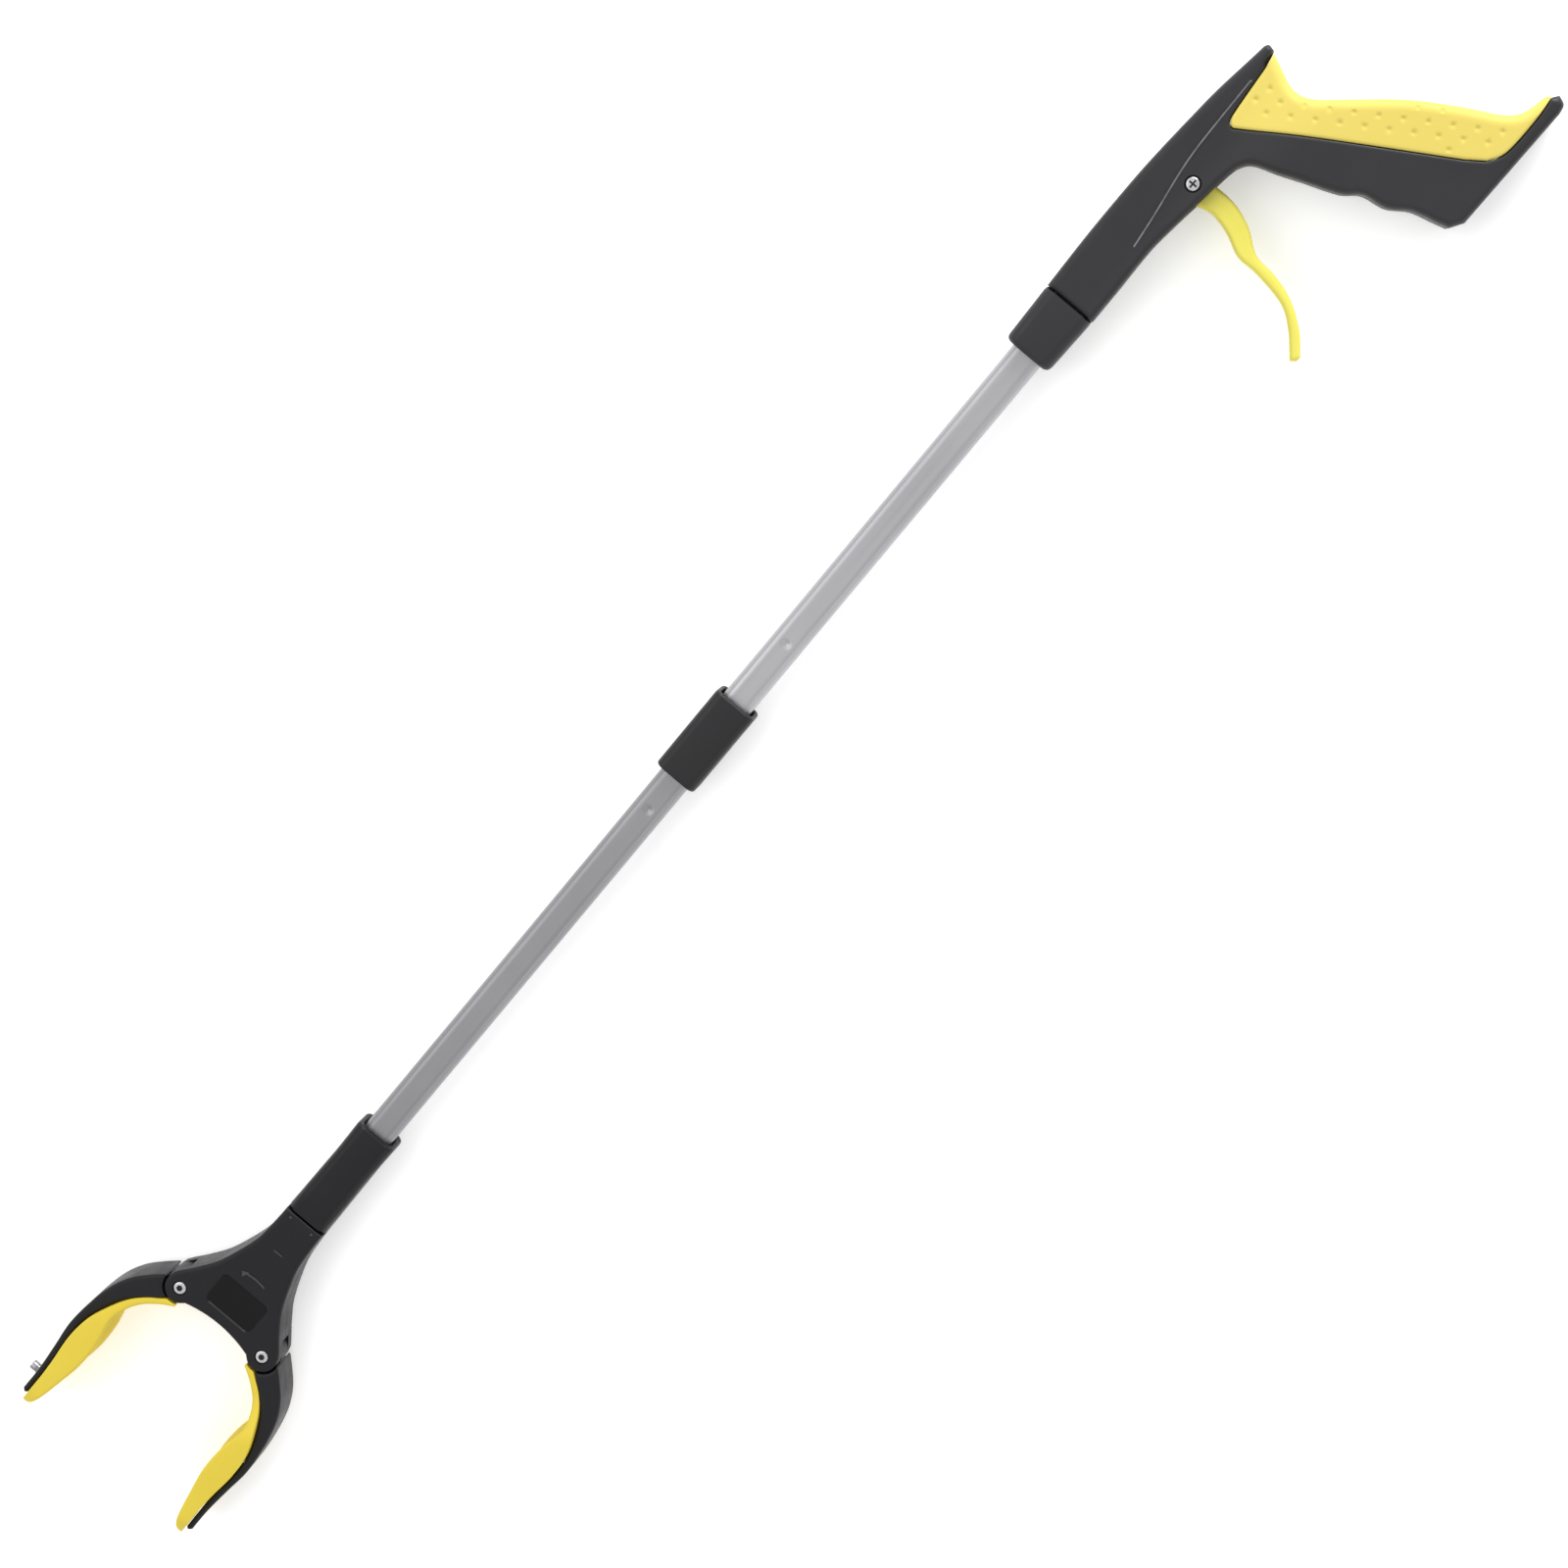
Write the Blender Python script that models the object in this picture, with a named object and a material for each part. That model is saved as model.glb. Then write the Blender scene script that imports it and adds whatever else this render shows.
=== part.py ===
"""Folding reacher grabber, lying on its side.

Lengths below are millimetres and MM turns them into metres. X runs along the tubes from the claw
to the handle, Y points away from the trigger, and Z is the thickness, with Z = 0 on the tool's
mid-plane. X = 0 is the middle of the lock sleeve. A root empty then moves the whole tool so that
the origin is at the bottom centre of its box.
"""

import math

import bmesh
import bpy
from mathutils import Matrix, Vector

MM = 0.001
GAP = 0.3
ROUND_SIDES = 20

# Tubes
TUBE_HALF_Y = 6.7
TUBE_HALF_Z = 6.3
TUBE_CORNER = 3.6
TUBE_WALL = 0.9
UPPER_TUBE_X = (-9.8, 272.0)
LOWER_TUBE_X = (-257.0, -19.2)
FIT = TUBE_WALL + 0.35

# Push rods, on the tube's axis
ROD_R = 1.8
ROD_HOLE_R = 2.2
ROD_MEETING_X = -14.5
ROD_FOOT_LENGTH = 6.0
UPPER_ROD_END_X = 285.6
PLUNGER_X = -288.0
PLUNGER_LENGTH = 4.0
GUIDE_LENGTH = 12.0
UPPER_GUIDES = (("rod_guide_middle", 120.0), ("rod_guide_rear", 256.0))
LOWER_GUIDE_X = -146.0

# Fold joint and its lock sleeve
FOLD_PIVOT = (-14.5, 6.2)
FOLD_PIN_R = 0.8
KNUCKLE_R = 1.45
KNUCKLE_SPLIT_Z = 2.45
HINGE_SHOULDER = 4.4
HINGE_PLUG_X = (12.0, -34.0)  # where the upper and the lower block end inside their tubes
SLEEVE_HALF_LENGTH = 19.6
SLEEVE_HALF = (9.5, 10.0)
SLEEVE_BORE = (7.85, 7.7)
SLEEVE_STOP_X = 51.0

# Handle
NOSE_HALF_Z = 11.5
GRIP_HALF_Z = 14.0
NOSE_END_X = 224.0
COLLAR_X = (198.5, 223.2)
COVER_SKIN = 2.7
TRIGGER_PIVOT = (288.0, -7.0)
TRIGGER_ARM = 7.0
TRIGGER_BOSS_R = 4.2
TRIGGER_HALF_Z = 5.0
TRIGGER_SCREW_R = 1.5
SHELL_SCREWS = (
    ("shell_screw_nose", (313.5, 3.6), NOSE_HALF_Z),
    ("shell_screw_grip", (322.5, -44.0), GRIP_HALF_Z),
    ("shell_screw_butt", (341.0, -89.5), GRIP_HALF_Z),
)
SHELL_SCREW_R = 1.2
SHELL_SCREW_HEAD_R = 2.6

# Claw
CLAW_HALF_Z = 10.0
JAW_HALF_Z = 10.0
PAD_HALF_Z = 14.0
TONGUE_HALF_Z = 4.0
NECK_X = (-265.6, -217.5)
NECK_RIVET = (-246.0, 0.0)
SPIGOT_X = (-282.0, -257.8)
SPIGOT_R = 6.0
SPIGOT_FLANGE_X = (-279.2, -276.2)
SPIGOT_FLANGE_R = 7.6
JAW_PIVOT = (-325.0, 22.5)
EAR_R = 7.0
JAW_SCREW_R = 1.6
CLAW_SCREW = (-291.0, 8.2)
CROSSHEAD_END_X = -311.5
CROSSHEAD_STEM_R = 2.4
CROSSHEAD_FLANGE_R = 4.5
CROSSHEAD_HALF_Z = 1.4
SPRING_ROOM_R = 5.0
SPRING_SEAT_X = -303.0
JAW_SWING = math.radians(27.0)
ROD_STROKE = 3.6
TAIL_R = 7.5
TAIL_START = math.radians(-52.0)
TAIL_PIN_R = 1.1
SLOT_WALL = 1.3
FORK_HALF_Z = 1.8
MOUTH_R = 54.0
MOUTH_X = -326.5

BLACK = ("black_plastic", (0.050, 0.050, 0.058, 1.0), 0.55, 0.0)
YELLOW = ("yellow_plastic", (0.90, 0.72, 0.13, 1.0), 0.50, 0.0)
SOFT = ("yellow_rubber", (0.90, 0.74, 0.18, 1.0), 0.70, 0.0)
ALUMINIUM = ("aluminium", (0.62, 0.62, 0.62, 1.0), 0.35, 1.0)
STEEL = ("steel", (0.70, 0.70, 0.70, 1.0), 0.28, 1.0)
ACETAL = ("acetal", (0.75, 0.75, 0.72, 1.0), 0.45, 0.0)


def clear_scene():
    for obj in list(bpy.data.objects):
        bpy.data.objects.remove(obj, do_unlink=True)


def make_material(node_name, finish):
    """Each node has a Principled material of its own."""
    kind, colour, roughness, metallic = finish
    mat = bpy.data.materials.new(f"{node_name}_{kind}")
    mat.use_nodes = True
    shader = mat.node_tree.nodes["Principled BSDF"]
    shader.inputs["Base Color"].default_value = colour
    shader.inputs["Roughness"].default_value = roughness
    shader.inputs["Metallic"].default_value = metallic
    mat.diffuse_color = colour
    return mat


# Outlines -------------------------------------------------------------------------------------


def arc(centre, radius, start_deg, end_deg, steps):
    """Points on a circle, both ends included."""
    points = []
    for i in range(steps + 1):
        angle = math.radians(start_deg + (end_deg - start_deg) * i / steps)
        points.append((centre[0] + radius * math.cos(angle), centre[1] + radius * math.sin(angle)))
    return points


def circle(centre, radius, sides=ROUND_SIDES):
    return arc(centre, radius, 0.0, 360.0, sides)[:-1]


def flowing(points, steps=3):
    """A smooth Catmull-Rom line through the points, ends included."""
    ends = [points[0]] + list(points) + [points[-1]]
    line = []
    for i in range(1, len(ends) - 2):
        p0, p1, p2, p3 = (Vector(p) for p in ends[i - 1 : i + 3])
        for k in range(steps):
            t = k / steps
            line.append(
                tuple(
                    0.5
                    * (
                        2 * p1
                        + (p2 - p0) * t
                        + (2 * p0 - 5 * p1 + 4 * p2 - p3) * t * t
                        + (3 * p1 - p0 - 3 * p2 + p3) * t * t * t
                    )
                )
            )
    line.append(tuple(points[-1]))
    return line


def mirrored(points):
    """The same points across the line Y = 0, in reverse so that the outline keeps its turn."""
    return [(x, -y) for x, y in reversed(points)]


def rounded_rectangle(half_a, half_b, radius, steps=4):
    """Counter-clockwise outline of a rounded rectangle round the origin."""
    a, b = half_a - radius, half_b - radius
    points = []
    for centre, start in (((a, b), 0), ((-a, b), 90), ((-a, -b), 180), ((a, -b), 270)):
        points += arc(centre, radius, start, start + 90, steps)
    return points


def area(points):
    total = 0.0
    for (x0, y0), (x1, y1) in zip(points, points[1:] + points[:1]):
        total += x0 * y1 - x1 * y0
    return total / 2


def counter_clockwise(points):
    return points if area(points) > 0 else points[::-1]


def inset(points, distance):
    """The outline moved inwards by the distance."""
    moved = []
    for i, point in enumerate(points):
        before = Vector(point) - Vector(points[i - 1])
        after = Vector(points[(i + 1) % len(points)]) - Vector(point)
        before.normalize()
        after.normalize()
        middle = Vector((-(before.y + after.y), before.x + after.x))
        length = max(middle.length, 0.9)
        moved.append(tuple(Vector(point) + middle * (2 * distance / (length * length))))
    return moved


# Solids ---------------------------------------------------------------------------------------


def skinned(rings):
    """A closed mesh through rings of equal length, with a cap at each end."""
    bm = bmesh.new()
    rows = [[bm.verts.new(point) for point in ring] for ring in rings]
    count = len(rings[0])
    for low, high in zip(rows, rows[1:]):
        for i in range(count):
            k = (i + 1) % count
            bm.faces.new((low[i], low[k], high[k], high[i]))
    bm.faces.new(rows[0][::-1])
    bm.faces.new(rows[-1])
    bmesh.ops.recalc_face_normals(bm, faces=bm.faces)
    return bm


def slab(outline, z_low, z_high, round_low=0.0, round_high=0.0, steps=2):
    """An outline extruded along Z, with its rims rounded."""
    outline = counter_clockwise(outline)
    rings = []
    for side, radius in ((-1, round_low), (1, round_high)):
        edge = z_low if side < 0 else z_high
        if radius <= 0:
            rings.append([(x, y, edge) for x, y in outline])
            continue
        turns = [math.radians(90.0 * i / steps) for i in range(steps + 1)]
        for angle in turns[::-1] if side < 0 else turns:
            shrink = radius * (1 - math.cos(angle))
            z = edge - side * radius * (1 - math.sin(angle))
            shape = inset(outline, shrink) if shrink > 0 else outline
            rings.append([(x, y, z) for x, y in shape])
    return skinned(rings)


def along_x(sections):
    """A solid through sections (x, outline in Y and Z)."""
    return skinned([[(x, y, z) for y, z in outline] for x, outline in sections])


def rod(start, end, radius, sides=ROUND_SIDES):
    """A round bar between two points."""
    start, end = Vector(start), Vector(end)
    bm = bmesh.new()
    turn = (end - start).to_track_quat("Z", "Y").to_matrix().to_4x4()
    bmesh.ops.create_cone(
        bm,
        cap_ends=True,
        segments=sides,
        radius1=radius,
        radius2=radius,
        depth=(end - start).length,
        matrix=Matrix.Translation((start + end) / 2) @ turn,
    )
    return bm


def block(x, y, z):
    """A box between the pairs of limits."""
    return slab([(x[0], y[0]), (x[1], y[0]), (x[1], y[1]), (x[0], y[1])], z[0], z[1])


def tube_outline(grow):
    """The tube's rounded section, grown outwards or, if negative, shrunk."""
    return rounded_rectangle(TUBE_HALF_Y + grow, TUBE_HALF_Z + grow, TUBE_CORNER + grow)


def tube_bar(x_low, x_high, grow):
    return along_x([(x_low, tube_outline(grow)), (x_high, tube_outline(grow))])


# Objects --------------------------------------------------------------------------------------


def place(name, bm, parent, origin):
    """Turns a mesh in millimetres into an object whose origin is at the given point."""
    base = Vector(origin).to_3d()
    for vert in bm.verts:
        vert.co = (vert.co - base) * MM
    mesh = bpy.data.meshes.new(name)
    bm.to_mesh(mesh)
    bm.free()
    obj = bpy.data.objects.new(name, mesh)
    bpy.context.scene.collection.objects.link(obj)
    obj.parent = parent
    obj.location = base * MM - parent_base(parent)
    return obj


def parent_base(parent):
    """Where the parent empty stands, in metres."""
    return Vector(parent.get("base", (0.0, 0.0, 0.0))) if parent else Vector()


def axis_empty(name, parent, origin):
    """An empty on a joint's axis, which carries the pieces that move with it."""
    empty = bpy.data.objects.new(name, None)
    bpy.context.scene.collection.objects.link(empty)
    base = Vector(origin).to_3d() * MM
    empty.parent = parent
    empty.location = base - parent_base(parent)
    empty["base"] = base
    return empty


def piece(name, bm, finish, parent, origin=(0.0, 0.0, 0.0)):
    """A named node with its own material, smooth where it is round."""
    obj = place(name, bm, parent, origin)
    obj.data.materials.append(make_material(name, finish))
    obj.data.shade_smooth()
    obj.data.set_sharp_from_angle(angle=math.radians(35))
    return obj


def boolean(target, bm, operation):
    """Cuts a shape from a piece, or joins it on. The helper isn't a node."""
    helper = place(f"{target.name}_{operation.lower()}_{len(target.modifiers)}", bm, None, (0, 0, 0))
    helper.parent = target.parent
    helper.location = -parent_base(target.parent)
    helper.hide_render = True
    helper.display_type = "WIRE"
    modifier = target.modifiers.new(operation.title(), "BOOLEAN")
    modifier.operation = operation
    modifier.solver = "EXACT"
    modifier.object = helper


def cut(target, *shapes):
    for bm in shapes:
        boolean(target, bm, "DIFFERENCE")


def join(target, *shapes):
    for bm in shapes:
        boolean(target, bm, "UNION")


def wire(name, points, radius, finish, parent):
    """A round wire through the points, in millimetres."""
    curve = bpy.data.curves.new(name, "CURVE")
    curve.dimensions = "3D"
    curve.bevel_depth = radius * MM
    curve.bevel_resolution = 1
    curve.use_fill_caps = True
    spline = curve.splines.new("POLY")
    spline.points.add(len(points) - 1)
    base = parent_base(parent)
    for spot, point in zip(spline.points, points):
        spot.co = (*(Vector(point) * MM - base), 1.0)
    curve.materials.append(make_material(name, finish))
    obj = bpy.data.objects.new(name, curve)
    bpy.context.scene.collection.objects.link(obj)
    obj.parent = parent
    return obj


# Handle ---------------------------------------------------------------------------------------

NOSE_TOP = [(224, 11), (250, 11.7), (275, 11.6), (290, 11), (305, 10), (320, 8.8), (335, 6.8)]
NOSE_TIP = [(343.5, 5.7), (345, 4.5), (344.5, 1.6)]
BACK_SEAM = [(338, 0.3), (320, -1.3), (315, -2.2), (313, -4.5), (315, -8.5), (330, -32), (358, -79)]
BUTT_SEAM = [(363, -86), (370, -89.6), (385, -90), (396, -89)]
BUTT = [(398, -90.5), (396.5, -94), (393, -95), (341, -94.7)]
FINGER_EDGE = [(336, -91.5), (334.5, -86), (332, -77), (327, -69), (325, -59), (320, -52), (315, -39)]
GRIP_ROOT = [(311, -29), (308, -20.5), (304.5, -17), (299, -15.2)]
NOSE_BOTTOM = [(285, -13.6), (270, -11.8), (258, -10.8), (240, -11.1), (224, -11.2)]
PALM = [(344.5, 1.0), (342, -4), (339, -11), (338.5, -16), (341, -22), (350, -33), (362, -48)]
PALM_LOW = [(372, -64), (380, -79), (385, -84), (391, -86.2), (395.5, -87)]
TRIGGER_FRONT = [(282.6, -13.5), (284, -20), (282, -29), (278, -38), (277.6, -48), (275, -62)]
TRIGGER_TIP = [(269.5, -70.5), (260.7, -78.8), (262.2, -80.8), (264.3, -81.2)]
TRIGGER_BACK = [(272, -74), (278.5, -64), (281.8, -53), (283, -43), (289, -34), (292.5, -24), (293, -14)]


def black_outline():
    """The outline of the black shells as seen from the side, round the soft cover's seam."""
    top = flowing(NOSE_TOP, 2) + NOSE_TIP
    seam = flowing(BACK_SEAM, 2) + flowing(BUTT_SEAM, 2)
    return top + seam + BUTT + flowing(FINGER_EDGE + GRIP_ROOT + NOSE_BOTTOM, 2)


def cover_outline():
    """The soft cover's side outline, a gap away from the seam."""
    seam = flowing(BACK_SEAM, 2) + flowing(BUTT_SEAM, 2)
    palm = flowing(PALM + PALM_LOW, 2)
    return inset(counter_clockwise(seam + palm[::-1]), GAP)


def build_handle(root):
    core = counter_clockwise(
        [(318, -6), (333, -6), (334, -17), (345, -33), (357, -48), (367, -64), (374, -78), (378, -84)]
        + [(368, -86), (352, -78), (326, -32)]
    )
    pocket = [(320, -27), (331, -43), (345, -67), (356, -84), (344, -88), (339, -80), (330, -62)]
    shells = {}
    for side, name in ((1, "handle_shell_left"), (-1, "handle_shell_right")):
        z = sorted((side * GAP / 2, side * NOSE_HALF_Z))
        rounds = (0, 1.5) if side > 0 else (1.5, 0)
        shell = piece(name, slab(black_outline(), *z, *rounds), BLACK, root)
        grip = sorted((side * GAP / 2, side * GRIP_HALF_Z))
        lower = [p for p in black_outline() if p[1] < -20]
        join(shell, slab(lower, *grip, *rounds))
        join(shell, slab(core, *sorted((side * GAP / 2, side * (GRIP_HALF_Z - COVER_SKIN - GAP)))))
        deep = sorted((-side, side * 8.0))
        cut(shell, slab(pocket, *deep))
        cut(shell, tube_bar(NOSE_END_X - 1, UPPER_TUBE_X[1] + GAP, GAP))
        works = [(271, 5.5), (296, 5.5), (298, -4), (302, -6), (302, -18), (299, -30), (279, -30)]
        works += [(279, -9), (271, -5.5)]
        cut(shell, slab(works, *sorted((-side, side * (TRIGGER_HALF_Z + 0.4)))))
        cut(shell, rod((*TRIGGER_PIVOT, -20), (*TRIGGER_PIVOT, 20), TRIGGER_SCREW_R + 0.2))
        shells[side] = shell
    cut(shells[-1], rod((*TRIGGER_PIVOT, -7.4), (*TRIGGER_PIVOT, -1), 5.4))
    cut(shells[1], rod((*TRIGGER_PIVOT, NOSE_HALF_Z - 1.5), (*TRIGGER_PIVOT, 20), 3.0))
    cut(shells[-1], rod((*TRIGGER_PIVOT, -20), (*TRIGGER_PIVOT, 1.8 - NOSE_HALF_Z), 3.1))

    cover = piece("grip_cover", slab(cover_outline(), -GRIP_HALF_Z, GRIP_HALF_Z, 0.8, 0.8), SOFT, root)
    cut(cover, slab(inset(core, -GAP), COVER_SKIN - GRIP_HALF_Z, GRIP_HALF_Z - COVER_SKIN))

    low, high = COLLAR_X
    shape = [(low, rounded_rectangle(9.2, 10.0, 4)), (low + 1.2, rounded_rectangle(10.3, 11.1, 4))]
    shape.append((high, rounded_rectangle(11.1, 11.4, 4)))
    collar = piece("nose_collar", along_x(shape), BLACK, root)
    cut(collar, tube_bar(low - 1, high + 1, GAP))

    build_fasteners(root, shells)


def build_fasteners(root, shells):
    """The trigger's pivot screw and nut, and the screws that hold the shells together."""
    x, y = TRIGGER_PIVOT
    face = NOSE_HALF_Z
    shank = rod((x, y, 2 - face), (x, y, face - 0.9), TRIGGER_SCREW_R)
    screw = piece("trigger_pivot_screw", shank, STEEL, root)
    join(screw, slab(circle((x, y), 2.7), face - 1.2, face + 0.1, 0, 0.6))
    nut = slab(circle((x, y), 2.9, 6), 0.2 - face, 1.5 - face)
    piece("trigger_pivot_nut", nut, STEEL, root)
    for name, spot, face in SHELL_SCREWS:
        for side in (1, -1):
            start = -5.5 if side > 0 else -20
            cut(shells[side], rod((*spot, start), (*spot, 5.5), SHELL_SCREW_R + GAP))
        cut(shells[-1], rod((*spot, -20), (*spot, 2.2 - face), SHELL_SCREW_HEAD_R + 0.4))
        screw = piece(name, rod((*spot, 1.5 - face), (*spot, 5.0), SHELL_SCREW_R), STEEL, root)
        join(screw, slab(circle(spot, SHELL_SCREW_HEAD_R), 0.8 - face, 1.9 - face, 0.4, 0))


def build_trigger(root):
    x, y = TRIGGER_PIVOT
    axis = axis_empty("trigger_axis", root, TRIGGER_PIVOT)
    arm = arc((x, y + TRIGGER_ARM), 2.0, 0, 180, 8) + [(x - 2, y + TRIGGER_BOSS_R)]
    left = arc(TRIGGER_PIVOT, TRIGGER_BOSS_R, 125, 200, 4)
    blade = flowing(TRIGGER_FRONT + TRIGGER_TIP[:2], 2) + TRIGGER_TIP[2:]
    blade += flowing([TRIGGER_TIP[3]] + TRIGGER_BACK, 2)[1:]
    right = arc(TRIGGER_PIVOT, TRIGGER_BOSS_R, -20, 55, 4)
    outline = arm + left + blade + right + [(x + 2, y + TRIGGER_BOSS_R)]
    half = TRIGGER_HALF_Z - 0.1
    trigger = piece("trigger", slab(outline, -half, half, 0.9, 0.9), YELLOW, axis, TRIGGER_PIVOT)
    cut(trigger, rod((x, y, -9), (x, y, 9), TRIGGER_SCREW_R + 0.15))
    cut(trigger, rod((x, y, -9), (x, y, 1.6 - TRIGGER_HALF_Z), 7.0))
    turns, sides, coil_r, low, pitch = 2, 20, 3.3, -6.6, 1.1
    coil = []
    for i in range(turns * sides + 1):
        turn = 2 * math.pi * i / sides
        z = low + pitch * i / sides
        coil.append((x + coil_r * math.cos(turn), y + coil_r * math.sin(turn), z))
    leg = (x + coil_r, y - 3.4, low)
    wire("trigger_return_spring", [leg] + coil[1:], 0.45, STEEL, axis)


# Tubes, rods and the fold joint ---------------------------------------------------------------


def hinge_half(name, side, x_plug, parent, pin_at):
    """One plastic hinge block: side is 1 for the handle's half, -1 for the claw's."""
    px, py = FOLD_PIVOT
    face = px + side * GAP / 2
    shoulder = px + side * HINGE_SHOULDER
    near, far = sorted((face, shoulder))
    top = py - KNUCKLE_R - 0.1
    body = block((near, far), (-TUBE_HALF_Y + 0.1, top), (-TUBE_HALF_Z + 0.1, TUBE_HALF_Z - 0.1))
    half = piece(name, body, BLACK, parent, pin_at)
    low, high = sorted((shoulder - side, x_plug))
    join(half, tube_bar(low, high, -FIT))
    if side > 0:
        spans = ((KNUCKLE_SPLIT_Z + GAP / 2, 5.7), (-5.7, -KNUCKLE_SPLIT_Z - GAP / 2))
    else:
        spans = ((GAP / 2 - KNUCKLE_SPLIT_Z, KNUCKLE_SPLIT_Z - GAP / 2),)
    for z_low, z_high in spans:
        cap = arc((px, py), KNUCKLE_R, 90 + side * 180, 90 - side * 90, 18)
        foot = [(px + side * KNUCKLE_R, top - 1.0), (face, top - 1.0)]
        join(half, slab(cap + foot, z_low, z_high))
    cut(half, rod((px, py, -9), (px, py, 9), FOLD_PIN_R + 0.12))
    cut(half, rod((low - 9, 0, 0), (high + 9, 0, 0), ROD_HOLE_R + 0.15))
    return half


def rod_guide(name, x, parent):
    """A plug that fits the tube, with a hole on the axis for the push rod."""
    end = x + GUIDE_LENGTH
    guide = piece(name, tube_bar(x, end, -FIT), ACETAL, parent)
    cut(guide, rod((x - 1, 0, 0), (end + 1, 0, 0), ROD_HOLE_R))


def build_upper_tube(root):
    x_low, x_high = UPPER_TUBE_X
    tube = piece("upper_tube", tube_bar(x_low, x_high, 0), ALUMINIUM, root)
    cut(tube, tube_bar(x_low - 1, x_high + 1, -TUBE_WALL))
    join(tube, slab(circle((SLEEVE_STOP_X, -1.8), 0.8, 12), TUBE_HALF_Z - 0.5, TUBE_HALF_Z + 0.3, 0, 0.3))
    hinge_half("fold_hinge_block_upper", 1, HINGE_PLUG_X[0], root, FOLD_PIVOT)
    px, py = FOLD_PIVOT
    piece("fold_hinge_pin", rod((px, py, -6.2), (px, py, 6.2), FOLD_PIN_R), STEEL, root)
    for name, x in UPPER_GUIDES:
        rod_guide(name, x, root)


def build_upper_rod(root):
    axis = axis_empty("upper_rod_axis", root, (0, 0, 0))
    start = ROD_MEETING_X + GAP / 2
    end = start + ROD_FOOT_LENGTH
    piece("upper_rod_foot", rod((start, 0, 0), (end, 0, 0), ROD_R + 0.2), ACETAL, axis)
    shaft = rod((end + GAP, 0, 0), (UPPER_ROD_END_X, 0, 0), ROD_R)
    piece("upper_push_rod", shaft, STEEL, axis)


def build_lock_sleeve(root):
    axis = axis_empty("lock_sleeve_axis", root, (0, 0, 0))
    half_y, half_z = SLEEVE_HALF
    end = SLEEVE_HALF_LENGTH
    ring = [(-end, half_y - 1.2, half_z - 1.2), (1.5 - end, half_y, half_z)]
    ring += [(end - 1.0, half_y, half_z), (end, half_y - 0.7, half_z - 0.7)]
    shape = [(x, rounded_rectangle(y, z, 3.6)) for x, y, z in ring]
    sleeve = piece("lock_sleeve", along_x(shape), BLACK, axis)
    bore = rounded_rectangle(*SLEEVE_BORE, 2.6)
    cut(sleeve, along_x([(-end - 1, bore), (end + 1, bore)]))


def build_lower_arm(arm):
    x_low, x_high = LOWER_TUBE_X
    tube = piece("lower_tube", tube_bar(x_low, x_high, 0), ALUMINIUM, arm)
    cut(tube, tube_bar(x_low - 1, x_high + 1, -TUBE_WALL))
    hinge_half("fold_hinge_block_lower", -1, HINGE_PLUG_X[1], arm, FOLD_PIVOT)
    rod_guide("rod_guide_lower", LOWER_GUIDE_X, arm)

    low, high = NECK_X
    shape = [
        (low, rounded_rectangle(9.2, 9.7, 4)),
        (low + 0.8, rounded_rectangle(9.6, 10.0, 4)),
        (-232.0, rounded_rectangle(9.1, 9.8, 4)),
        (high - 1.5, rounded_rectangle(9.4, 10.0, 4)),
        (high, rounded_rectangle(9.0, 9.6, 4)),
    ]
    socket = piece("neck_socket", along_x(shape), BLACK, arm)
    cut(socket, tube_bar(LOWER_TUBE_X[0] - GAP, high + 1, GAP))
    cut(socket, rod((low - 1, 0, 0), (x_low, 0, 0), SPIGOT_R + 0.4))

    tip, end = SPIGOT_X
    spigot = piece("swivel_spigot", rod((tip, 0, 0), (end, 0, 0), SPIGOT_R), ACETAL, arm)
    flange = [(x, 0, 0) for x in SPIGOT_FLANGE_X]
    join(spigot, rod(*flange, SPIGOT_FLANGE_R))
    cut(spigot, rod((tip - 1, 0, 0), (end + 1, 0, 0), ROD_HOLE_R))
    piece("socket_rivet", slab(circle(NECK_RIVET, 1.6, 16), -10.3, -7.0, 0.4, 0), STEEL, arm)
    cut(socket, rod((*NECK_RIVET, -12), (*NECK_RIVET, -6), 1.6 + GAP, 16))

    axis = axis_empty("lower_rod_axis", arm, (0, 0, 0))
    head_end = PLUNGER_X + PLUNGER_LENGTH
    shaft = rod((head_end + GAP, 0, 0), (ROD_MEETING_X - GAP / 2, 0, 0), ROD_R)
    piece("lower_push_rod", shaft, STEEL, axis)
    piece("plunger_head", rod((PLUNGER_X, 0, 0), (head_end, 0, 0), 3.4), ACETAL, axis)


# Claw -----------------------------------------------------------------------------------------

BODY_EDGE = [(-266.3, 9.5), (-275, 9.8), (-285, 10.7), (-295, 13.6), (-305, 17.6), (-314, 23.4)]
BODY_EAR = [(-319, 27.2), (-321.4, 28.8)]
ARM_OUTER = [(-324.2, 30.6), (-329, 35.5), (-336, 41.3), (-345, 45.5), (-357, 48), (-370, 49.1)]
ARM_TIP = [(-382, 48), (-395, 47), (-407, 47), (-408.4, 45.6), (-407.5, 44.4)]
ARM_INNER = [(-396, 44.2), (-386, 44.6), (-374, 45.6), (-364, 44.9), (-355, 42), (-345, 37)]
ARM_ROOT = [(-338.5, 31.4), (-335, 27)]
PAD_TIP = [(-410, 43.2), (-409, 40.8), (-405.5, 39)]
PAD_EDGE = [(-400, 37.5), (-392, 36), (-380, 34), (-368, 34.2), (-356, 36.2), (-349, 34.6)]
PAD_ROOT = [(-343, 31), (-338.3, 26.2), (-335.2, 22), (-333.9, 20.2), (-333.4, 19.3)]


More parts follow.
